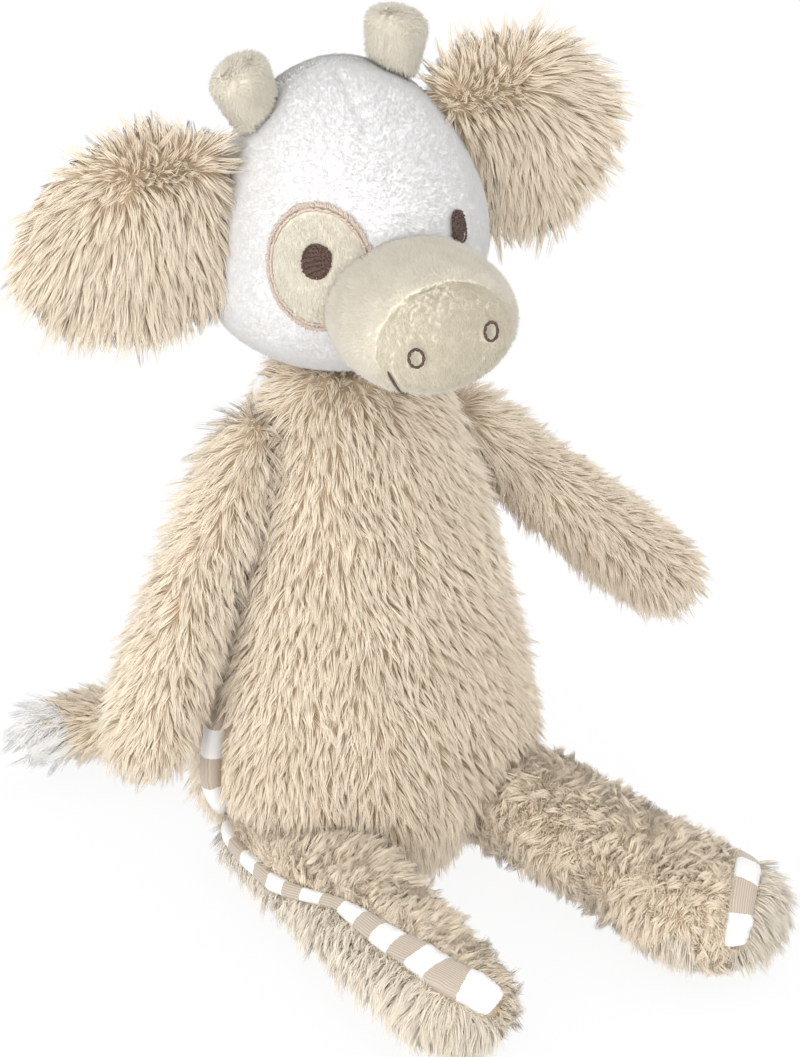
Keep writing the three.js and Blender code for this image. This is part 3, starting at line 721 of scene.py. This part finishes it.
# A fuller right cheek, a flatter left one, a higher crown and the short dart sewn in it
crown = in_head(places(head))
left, back, high = crown.T
cheek = np.where(left < 0, 1 + 0.19 * smooth(8 * MM, -28 * MM, high), 0.93)
climb = np.arctan2(high, -back)
dart = hump(left, 1.7 * MM) * smooth(0.85, 0.95, climb) * (climb < 1.45)
crown = crown * np.stack([cheek, np.ones(len(left)), np.ones(len(left))], 1)
crown[:, 2] += smooth(0, 40 * MM, high) * 2.8 * MM - dart * 1.3 * MM
move(head, from_head(crown))
head_skin = Skin(head)
nose_seam = in_head(cad_points("muzzle_nose_panel"))[:, 1].max()
muzzle_end = in_head(cad_points("muzzle_stuffing"))[:, 1].max()
muzzle = form(
    "muzzle_body", CREAM_CLOTH, "head", "cream_velour", ["muzzle_stuffing"], voxel=2.5 * MM, swell=0.6 * MM,
    held=lambda p: (np.abs(in_head(p)[:, 1] - nose_seam) < 1.5 * MM)
    | (in_head(p)[:, 1] > muzzle_end - 5 * MM),
)
# A higher top, and the groove of the seam round the nose
taller = in_head(places(muzzle))
taller[:, 2] += 3 * MM * smooth(0, 20 * MM, taller[:, 2] - in_head(middle("muzzle_stuffing"))[2])
move(muzzle, from_head(taller))
seam_gap = in_head(places(muzzle))[:, 1] - nose_seam
groove = 0.5 * MM * hump(seam_gap, 1.5 * MM)
move(muzzle, places(muzzle) - outward(muzzle) * groove[:, None])
muzzle_skin = Skin(muzzle)

# For each eye, in mm: its shift to the left and up, its half width and half height, how far it is raised
EYES = {"eye_right": ((-2.0, -1.2), (4.4, 5.7), 2.0), "eye_left": ((-0.8, -2.0), (3.0, 5.5), 1.2)}
EYE_LEAN = math.radians(28)
EYE_ROW, EYE_STITCH, EYE_STAGGER = 0.6 * MM, 2.7 * MM, 0.9 * MM
NOSTRIL_SIZE = np.array((2.35, 3.0)) * MM
PATCH_SIZE = np.array((16.6, 20.0)) * MM
PATCH_DROP = 2.7 * MM
# Rings of the eye patch: each one's share of its size, and how many mm it is raised
PATCH_RINGS = (
    (0.02, 1.0), (0.25, 1.0), (0.45, 1.0), (0.65, 1.0), (0.8, 1.0), (0.92, 0.9), (0.985, 0.5), (1.0, -0.3),
)
HEAD_ROOTS, CREAM_ROOTS = 4.3, 5.0  # strands of pile for each square millimetre


def eye_look(name):
    """The way from the head's middle to an eye."""
    left, high = EYES[name][0]
    return unit(middle(name) - head_at + (left * head_side + high * head_up) * MM)


patch_look = eye_look("eye_right")
patch_side = unit(np.cross(head_up, patch_look))
patch_up = np.cross(patch_look, patch_side)


def on_patch(points):
    """How far each point is from the middle of the eye patch, as a share of its size."""
    far = points - head_at
    high = (far @ patch_up + PATCH_DROP) / PATCH_SIZE[1]
    return np.hypot(far @ patch_side / PATCH_SIZE[0], high) + 9 * (far @ patch_look < 0)


def over_head(side, up, look, right, high, raised):
    """(point, normal) over the head, right and high of the line that look makes from its middle."""
    return head_skin.cast(head_at + side * right + up * high, look, raised)


def over_patch(share, turn, raised):
    """(point, normal) over the eye patch, a share of its size from its middle."""
    right, high = PATCH_SIZE * share * (math.cos(turn), math.sin(turn))
    return over_head(patch_side, patch_up, patch_look, right, high - PATCH_DROP, raised)


def apart(points, sewn):
    """How far each point is from the nearest stitch."""
    return span(points - sewn[nearest(points, sewn)])


rng = np.random.default_rng(50)
head_sewn, nose_sewn = [], []

turns = np.linspace(0, 2 * math.pi, 64, endpoint=False)
rings = [[over_patch(share, turn, raised * MM)[0] for turn in turns] for share, raised in PATCH_RINGS]
patch_mesh = mesh_of("eye_patch_cloth", rings, tube(len(rings), len(turns)))
patch = piece("eye_patch_cloth", patch_mesh, CREAM_CLOTH, "head", "cream_velour", "eye_patch")
patch_skin = Skin(patch)

border = Stitches()
for turn in np.linspace(0, 2 * math.pi, 190, endpoint=False):
    for inner, outer, slant in ((0.985, 1.065, 0.02), (0.93, 0.975, -0.03)):
        inner, outer = inner + rng.normal() * 0.006, outer + rng.normal() * 0.012
        start = over_patch(inner, turn - slant, 1.3 * MM)
        border.take(start, over_patch(outer, turn + slant, 1.3 * MM), 0.5 * MM)
border.sew("eye_patch_border", 0.27 * MM, BORDER_THREAD, "beige_thread", "eye_patch_stitching")

for name, (_, size, raised) in EYES.items():
    look = eye_look(name)
    size, raised = np.array(size) * MM, raised * MM
    side = unit(np.cross(head_up, look))
    up = np.cross(look, side)
    run = np.array((math.cos(EYE_LEAN), -math.sin(EYE_LEAN)))
    step = np.array((math.sin(EYE_LEAN), math.cos(EYE_LEAN)))
    eye = Stitches()
    for row, shift in enumerate(np.arange(-0.96 * size[1], 0.97 * size[1], EYE_ROW)):
        reach = math.sqrt(1 - (shift / size[1]) ** 2) * size[0]
        cuts = np.arange(-reach + (row % 3) * EYE_STAGGER - 1.6 * MM, reach, EYE_STITCH)
        stops = np.unique(np.clip(np.append(cuts, reach), -reach, reach))
        for a, b in zip(stops[:-1], stops[1:]):
            ends = []
            for where in (a, b):
                free = rng.normal() * 0.3 * MM if abs(abs(where) - reach) < 1e-6 else 0.0
                right, high = run * (where + math.copysign(free, where)) + step * shift
                ends.append(over_head(side, up, look, right, high, raised))
            eye.take(*ends, 0.3 * MM)

    def on_rim(angle):
        right, high = size * 0.97 * (math.cos(angle), math.sin(angle))
        return over_head(side, up, look, right, high, raised + 0.25 * MM)

    eye.loop(on_rim, np.linspace(0, 2 * math.pi, 26, endpoint=False), 0.2, 0.25 * MM)
    head_sewn += eye.lines
    eye.sew(f"{name}_stitches", 0.40 * MM, BROWN_THREAD, "brown_thread", name)

for name in ("nostril_right", "nostril_left"):
    at = in_head(middle(name))
    at[2] += 2 * MM * (at[0] > 0)

    def on_nostril(angle):
        wide, tall = NOSTRIL_SIZE * (math.cos(angle), math.sin(angle))
        return muzzle_skin.cast(from_head(at + (wide, 20 * MM, tall)), -head_back, 1.7 * MM)

    nostril = Stitches()
    nostril.loop(on_nostril, np.linspace(0, 2 * math.pi, 9, endpoint=False) + 0.2, 0.6, 0.5 * MM)
    nose_sewn += nostril.lines
    nostril.sew(f"{name}_stitches", 0.58 * MM, BROWN_THREAD, "brown_thread", name)

mouth_at = in_head(cad_points("mouth_stitching"))
corner = mouth_at[mouth_at[:, 0].argmin()] + (-3.5 * MM, 0, 0)
chin = np.array((0.0, corner[1] + 24 * MM, in_head(middle("muzzle_stuffing"))[2]))
mouth = Stitches()
across = np.linspace(-1, 0.6, 14)
for a, b in zip(across[:-1], across[1:]):
    ends = []
    for q in (a, b):
        under = 1 - q * q
        way = (corner - chin) * (-q, 1 - 0.8 * under, 1) + (0, 0, -60 * MM * under)
        ends.append(muzzle_skin.cast(from_head(chin), unit(from_head(way) - head_at), 1.5 * MM))
    mouth.take(*ends, 0.4 * MM)
nose_sewn += mouth.lines
mouth.sew("mouth_stitches", 0.5 * MM, BROWN_THREAD, "brown_thread", "mouth_stitching")
head_sewn, nose_sewn = np.concatenate(head_sewn), np.concatenate(nose_sewn)

root, out = head_skin.sow(rng, HEAD_ROOTS)
clear = (on_patch(root) > 0.97) & (apart(root, head_sewn) > 1.0 * MM)
root, out = root[clear], out[clear]
front = in_head(root)[:, 1] < 0
head_comb = root - head_at - np.outer((root - head_at) @ head_back, head_back) + DOWN * 20 * MM
for name, which, own in (("face", front, 0.12), ("back", ~front, 1.0)):
    nap(
        f"head_{name}_pile", root[which], out[which], head_comb[which], WHITE_PILE, "head", "white_velour",
        [f"head_{name}_panel"], 51, long=1.35 * MM, lift=62, sway=6, fat=0.22 * MM, own=own,
    )

root, out = patch_skin.sow(rng, CREAM_ROOTS)
out *= np.sign(out @ patch_look)[:, None]
clear = (on_patch(root) < 0.93) & (apart(root, head_sewn) > 1.0 * MM)
nap(
    "eye_patch_pile", root[clear], out[clear], DOWN + 0.2 * patch_side, PATCH_PILE, "head", "cream_velour",
    [], 53, lift=38, sway=22,
)

root, out = muzzle_skin.sow(rng, CREAM_ROOTS)
clear = (span(root - head_at) > 46 * MM) & (apart(root, nose_sewn) > 1.8 * MM)
root, out = root[clear], out[clear]
nose = in_head(root)[:, 1] < nose_seam
for name, which, muzzle_comb, look in (
    ("nose", nose, 0.9 * DOWN - 0.3 * head_back, CREAM_PILE),
    ("bridge", ~nose, 0.9 * head_back + 0.4 * DOWN, BRIDGE_PILE),
):
    nap(
        f"muzzle_{name}_pile", root[which], out[which], muzzle_comb, look, "head", "cream_velour",
        [f"muzzle_{name}_panel"], 52, lift=50, sway=12, fat=0.22 * MM,
    )

for side, seed, horn_shift in (("right", 61, (-3.9, -0.5)), ("left", 62, (-4.7, 4.5))):
    horn = form(
        f"horn_{side}_body", CREAM_CLOTH, "head", "cream_velour", [f"horn_{side}_stuffing"],
        voxel=2 * MM, ease=3, swell=0.8 * MM,
    )
    horn_way = unit(middle(f"horn_{side}_stuffing") - head_at)
    # Shifted, fuller above its foot and blunt at its tip
    far = places(horn) - places(horn).mean(0)
    rise = far @ horn_way
    share = (rise - rise.min()) / (rise.max() - rise.min())
    round_it = (far - np.outer(rise, horn_way)) * (1.0 + 0.1 * smooth(0.15, 0.75, share))[:, None]
    blunt = rise - 0.25 * np.maximum(share - 0.7, 0) * (rise.max() - rise.min())
    horn_foot = places(horn).mean(0) + horn_shift[0] * MM * head_side + horn_shift[1] * MM * horn_way
    move(horn, horn_foot + round_it + np.outer(blunt, horn_way))
    horn_skin = Skin(horn)
    root, out = horn_skin.sow(rng, CREAM_ROOTS)
    nap(
        f"horn_{side}_pile", root, out, -horn_way + 0.4 * head_side, BRIDGE_PILE, "head", "cream_velour",
        [f"horn_{side}_cover"], seed, long=2.4 * MM, lift=45, sway=45,
    )


# The ears

for side, seed, pinch, size, ear_shift, tip in (
    ("right", 71, (24, 13), (1.05, 0.82), (-6.5, 0, 7), 1),
    ("left", 72, (16, 6), (0.87, 0.83), (-11, 0, 10), 12),
):
    body = f"ear_{side}"
    nodes = [f"{body}_front", f"{body}_back"]
    ear_root, _ = joint(f"{body}_swing")
    ear = form(f"{body}_body", BEIGE_BACKING_GAP_SHADE, body, "beige_fur", [], source=nodes, voxel=3 * MM)
    ear_way = middle(*nodes) - ear_root
    ear_way = unit(ear_way - (ear_way @ head_back) * head_back)
    ear_across = np.cross(ear_way, head_back)
    ear_across *= np.sign(ear_across[2])
    core = middle(*nodes)
    far = in_head(places(ear) - core + head_at) * (size[0], 0.5, size[1])
    far = turned(far, np.array((0.0, 1.0, 0.0)), np.full(len(far), -math.radians(tip)))
    move(ear, from_head(far) - head_at + core + np.array(ear_shift) * MM)
    ear_skin = Skin(ear)
    ear_panel = ear_skin.panels(*nodes)
    from_pinch = ear_root + ear_way * pinch[0] * MM + ear_across * pinch[1] * MM

    def from_crease(root):
        """The way to each point from the short crease at the pinch."""
        far = root - from_pinch
        far = far - np.outer(far @ head_back, head_back)
        return far - np.outer(np.clip(far @ head_side, -9 * MM, 9 * MM), head_side)

    def ear_comb(root, out):
        """Away from the pinch, and hanging."""
        return unit(from_crease(root)) + 0.25 * DOWN

    def ear_rise(root):
        """Fur that stands up along the pinch."""
        return 46 * hump(span(from_crease(root)), 9 * MM)

    def ear_own(out):
        """Round strands along the rim, which is seen from both sides."""
        return 0.58 + 0.32 * smooth(0.8, 0.4, -out @ head_back)

    for number, face in enumerate(("front", "back")):
        fur(
            f"{body}_{face}_fur", ear_skin, ear_panel == number, ear_comb, BEIGE, body, "beige_fur",
            [nodes[number]], seed * 10 + number, each=2.0, long=(12 - 4 * number) * MM,
            lift=(48 - 18 * number, 16 - 10 * number), sway=13, rise=ear_rise, own=ear_own,
        )


# The arms

for side, sign, seed, top_shift, end_shift in (
    ("right", -1, 81, (6, 0, 0), (-1.5, 0, 4)),
    ("left", 1, 82, (0, 0, -11), (6, 0, -7)),
):
    body = f"arm_{side}"
    arm_root, _ = joint(f"{body}_lift")
    arm_way = unit(middle(f"{body}_stuffing") - arm_root)
    across = unit(middle(f"{body}_outer_panel") - middle(f"{body}_inner_panel"))
    across = unit(across - (across @ arm_way) * arm_way)
    arm = form(
        f"{body}_body", BEIGE_BACKING_GAP_SHADE, body, "beige_fur", [f"{body}_stuffing"],
        held=lambda p: (np.abs((p - arm_root) @ across) < 2.5 * MM) | ((p - arm_root) @ arm_way < 8 * MM),
    )
    far = (places(arm) - arm_root) @ arm_way
    raised = np.outer(smooth(45 * MM, -10 * MM, far), (sign * -9 * MM, 0, 8 * MM))
    share = smooth(0, far.max(), far)[:, None]
    shifted = (np.array(top_shift) * (1 - share) + np.array(end_shift) * share) * MM
    move(arm, places(arm) + shifted + raised)
    arm_skin = Skin(arm)
    arm_panel = arm_skin.panels(f"{body}_outer_panel", f"{body}_inner_panel")

    def arm_comb(root, out):
        """Down the arm, parting at the seam between its panels."""
        from_seam = (root - arm_root) @ across
        part = np.sign(from_seam) * np.exp(-np.abs(from_seam) / (7 * MM))
        cap = smooth(16 * MM, -4 * MM, (root - arm_root) @ arm_way)
        over = np.outer(cap, np.array((sign * 1.2, 0.0, -0.4)))
        return arm_way + 0.12 * np.outer(part, across) + 0.25 * DOWN + over

    def arm_rise(root):
        """Fur that stands up along the seam."""
        return 12 * hump((root - arm_root) @ across, 5 * MM)

    def at_shoulder(root, out):
        """Longer fur round the shoulder, and pressed flatter on top of the arm."""
        down_arm = smooth(5 * MM, 35 * MM, (root - arm_root) @ arm_way)
        return 1.3 - 0.3 * down_arm - 0.3 * smooth(0.3, 0.9, out[:, 2])

    for number, face in enumerate(("outer", "inner")):
        fur(
            f"{body}_{face}_fur", arm_skin, arm_panel == number, arm_comb, BEIGE, body, "beige_fur",
            [f"{body}_{face}_panel"], seed * 10 + number, press=at_shoulder, rise=arm_rise,
        )


# The legs

# The legs' bands, knot by knot: mm from the hip, degrees up from the outer side, and half the width in mm
LEG_BANDS = {
    "right": (
        (-8, 12, 40, 55, 72, 80, 93, 106, 117, 126, 141, 149, 153, 154.5),
        (8, 3, 6, 14, 28, 36, 42, 46, 51, 59, 67, 80, 108, 140),
        (2.6, 2.6, 2.9, 2.6, 2.0, 2.2, 3.4, 4.2, 4.8, 5.4, 6.2, 6.4, 6.2, 5.0),
    ),
    "left": (
        (-8, 12, 40, 55, 72, 80, 93, 106, 120, 132.5, 140.5, 146.5, 150.5, 153.5, 155.3, 156.6, 157, 157),
        (24, 17, 12, 12, 12, 12, 12, 13, 17, 27, 42, 60, 80, 102, 125, 150, 175, 200),
        (2.6, 2.6, 2.9, 2.6, 2.0, 2.2, 3.0, 3.4, 3.8, 4.1, 4.3, 4.4, 4.4, 4.4, 4.4, 4.4, 4.3, 4.0),
    ),
}
UNDERFUR_ROOTS = 2.4  # short strands for each square millimetre

for side, sign, seed, short, leg_shift in (
    ("right", -1, 91, 0.965, (0, 0, 0)),
    ("left", 1, 92, 1.0, (4, 0, 5.5)),
):
    body = f"leg_{side}"
    hip, hip_axis = joint(f"{body}_hip")
    to_foot = np.cross(hip_axis, UP)
    away = hip_axis * sign

    def to_end(points):
        """How far along the leg each point is from the hip."""
        return (points - hip) @ to_foot

    leg = form(
        f"{body}_body", BEIGE_BACKING_GAP_SHADE, body, "beige_fur", [f"{body}_stuffing"],
        swell=(0.4 + 0.6 * sign) * MM,
        held=lambda p: (np.abs(p[:, 2] - hip[2]) < 2.5 * MM) | (to_end(p) < 15 * MM) | (p[:, 2] < 3 * MM),
    )
    # Shifted and shortened, and on the left with a fuller foot that droops
    far = to_end(places(leg))
    leg_shift = np.array(leg_shift) * MM
    from_axis = places(leg) - hip - np.outer(far, to_foot)
    foot = 1 + 0.2 * smooth(95 * MM, 140 * MM, far)[:, None] * (sign > 0)
    droop = np.outer(smooth(60 * MM, 140 * MM, far) * (sign > 0), DOWN * 2.5 * MM)
    lengthwise = np.outer(np.where(far > 0, far * short, far), to_foot)
    move(leg, hip + leg_shift + droop + from_axis * foot + lengthwise)
    leg_skin = Skin(leg)
    knots = np.arange(len(LEG_BANDS[side][0]))
    fine = np.linspace(0, knots[-1], 100)
    path, angles, widths = (np.interp(fine, knots, row) for row in LEG_BANDS[side])
    widths *= MM
    spots = []
    for along, angle in zip(path * short * MM, np.radians(angles)):
        start = hip + leg_shift + to_foot * along
        spots.append(leg_skin.cast(start, away * math.cos(angle) + UP * math.sin(angle)))
    gusset(
        f"{body}_gusset_band", spots, widths, np.full(len(spots), 3.6 * MM), body, [f"{body}_gusset"],
        seed, stretch=1.04,
    )

    # Each triangle's panel: the nearest solid's, but the top's on the inner side, and close to the band the
    # one on that side of it
    line = np.array([s[0] for s in spots])
    close = nearest(leg_skin.centre, line)
    gap = span(leg_skin.centre - line[close])
    free = gap > widths[close] - 0.8 * MM
    leg_panel = leg_skin.panels(f"{body}_top_panel", f"{body}_sole_panel")
    band_side = np.cross([s[1] for s in spots], np.gradient(line, axis=0)) * -sign
    beside = ((leg_skin.centre - line[close]) * band_side[close]).sum(1)
    far = to_end(leg_skin.centre)
    leg_panel[(leg_skin.facing @ away < -0.25) & (leg_skin.facing[:, 2] > -0.85) & (far < 138 * MM)] = 0
    near = free & (gap < 14 * MM)
    leg_panel[near] = beside[near] < 0

    def from_line(root):
        """The way to each point from the middle of the gusset."""
        return root - line[nearest(root, line)]

    def by_band(root):
        """How near the gusset each point is: 1 at its edge and 0 well off it."""
        gap = span(from_line(root)) - widths[nearest(root, line)]
        return smooth(8 * MM, 0, gap)

    def top_comb(root, out):
        """Up off the gusset and along to the foot."""
        off = unit(from_line(root)) * (0.2 + 0.5 * by_band(root))[:, None]
        return to_foot * 0.7 + off - away * 0.3

    def sole_comb(root, out):
        """Along to the foot, and down off the gusset at its end."""
        end = smooth(80 * MM, 130 * MM, to_end(root))[:, None]
        return to_foot * (0.9 - 0.35 * end) + unit(from_line(root)) * 0.2 + DOWN * (0.3 + 0.2 * end)

    def in_torso(root, out):
        """Fur pressed short where the torso sits on the leg, and trimmed along the gusset."""
        clear = smooth(20 * MM, 50 * MM, to_end(root))
        return (0.5 + 0.5 * clear) * (1 - 0.3 * by_band(root))

    def on_floor(root, out):
        """Fur pressed short under the leg."""
        return 0.35 + 0.65 * smooth(-0.8, -0.3, out[:, 2])

    fur(
        f"{body}_top_fur", leg_skin, (leg_panel == 0) & free, top_comb, TOP_BEIGE, body, "beige_fur",
        [f"{body}_top_panel"], seed * 10, each=2.05, long=8 * MM, lift=(62, 30), sway=45,
        tuft=6, gather=0.68, curl=40, hang=0.05, press=in_torso,
    )
    rng = np.random.default_rng(seed * 10 + 2)
    for number, (face, look) in enumerate((("top", TOP_BEIGE), ("sole", SOLE_CREAM))):
        root, out = leg_skin.sow(rng, UNDERFUR_ROOTS, (leg_panel == number) & free)
        nap(
            f"{body}_{face}_underfur", root, out, to_foot - 0.3 * away, look, body, "beige_fur",
            [f"{body}_{face}_panel"], seed * 10 + 3 + number, long=4.5 * MM, lift=50, sway=60,
            fat=0.26 * MM, own=0.5,
        )
    fur(
        f"{body}_sole_fur", leg_skin, (leg_panel == 1) & free, sole_comb, SOLE_CREAM, body, "beige_fur",
        [f"{body}_sole_panel"], seed * 10 + 1, each=1.8, long=10.5 * MM, lift=(54, 22), sway=16,
        tuft=5, gather=0.52, press=on_floor, own=0.36,
    )


# The tail

tail_root, _ = joint("tail_swing")
tail = form("tail_body", BEIGE_BACKING_GAP_SHADE, "tail", "beige_fur", ["tail_stuffing"], voxel=3 * MM)
move(tail, places(tail) + UP * 5.5 * MM)
tail_skin = Skin(tail)
tail_panel = tail_skin.panels("tail_cover", "tail_tip_cover")
tail_end = middle("tail_tip_cover")
tail_corner = np.array((tail_root[0], tail_end[1], tail_root[2]))
share = np.linspace(0, 1, 40)[:, None]
tail_line = (1 - share) ** 2 * tail_root + 2 * share * (1 - share) * tail_corner + share**2 * tail_end
tail_flow = unit(np.gradient(tail_line, axis=0))
along_tail = nearest(tail_skin.centre, tail_line)
tail_panel[along_tail < np.quantile(along_tail[tail_panel == 1], 0.3)] = 0


def tail_comb(root, out):
    """Along the tail to its tip."""
    return tail_flow[nearest(root, tail_line)]


fur("tail_fur", tail_skin, tail_panel == 0, tail_comb, TOP_BEIGE, "tail", "beige_fur", ["tail_cover"], 101)
fur(
    "tail_tip_fur", tail_skin, tail_panel == 1, tail_comb, WHITE_STRANDS, "tail", "white_fur",
    ["tail_tip_cover"], 102, each=1.8, long=14 * MM, lift=(60, 20), sway=25, own=0.8,
)


# Stage, light and camera


def stage_material(name, shine):
    """White to the camera, but keeping some of the shadow that falls on it."""
    made = bpy.data.materials.new(name)
    made.use_nodes = True
    tree = made.node_tree
    tree.nodes.clear()
    wire = Wire(tree)
    plain = wire.node("BsdfDiffuse", (), {0: (0.9, 0.9, 0.9, 1)})
    glow = wire.node("Emission", (), {0: (1, 1, 1, 1), 1: 1.0})
    mixed = wire.node("MixShader", (), {0: shine, 1: plain, 2: glow})
    tree.links.new(mixed.socket, tree.nodes.new("ShaderNodeOutputMaterial").inputs[0])
    return made


floor_mesh = bpy.data.meshes.new("floor")
floor_mesh.from_pydata([(-6, -6, 0), (6, -6, 0), (6, 6, 0), (-6, 6, 0)], [], [(0, 1, 2, 3)])
floor = bpy.data.objects.new("floor", floor_mesh)
floor_mesh.materials.append(stage_material("white_floor", 0.9))
scene.collection.objects.link(floor)

world = bpy.data.worlds.new("studio")
scene.world = world
world.use_nodes = True
sky = world.node_tree.nodes["Background"]
sky.inputs["Strength"].default_value = 1.12
sky.inputs["Color"].default_value = (1, 1, 1, 1)

target = Vector((0, -0.022, 0.135))


def around(azimuth, elevation, distance):
    """A place round the object, as seen from its front."""
    a, e = math.radians(azimuth), math.radians(elevation)
    return target + distance * Vector((math.sin(a) * math.cos(e), -math.cos(a) * math.cos(e), math.sin(e)))


def aim(made, azimuth, elevation, distance):
    """Puts a lamp or the camera in the scene, looking at the object."""
    made.location = around(azimuth, elevation, distance)
    made.rotation_euler = (target - made.location).to_track_quat("-Z", "Y").to_euler()
    scene.collection.objects.link(made)


def lamp(name, azimuth, elevation, distance, size, power, tint=(1, 1, 1)):
    """A square soft light."""
    light = bpy.data.lights.new(name, "AREA")
    light.size = size
    light.energy = power
    light.color = tint
    aim(bpy.data.objects.new(name, light), azimuth, elevation, distance)


lamp("key", -68, 6, 1.6, 1.0, 9.5, (1.0, 0.99, 0.97))
lamp("front", -38, 24, 1.8, 1.8, 12.0)
lamp("rim", 60, 40, 1.6, 0.8, 1.2, (0.97, 0.985, 1.0))

view = bpy.data.cameras.new("camera")
view.sensor_fit = "HORIZONTAL"
view.sensor_width = 36.0
view.lens = 186.75
camera = bpy.data.objects.new("camera", view)
aim(camera, -35, 24, 1.4)
scene.camera = camera
scene.view_settings.view_transform = "Standard"
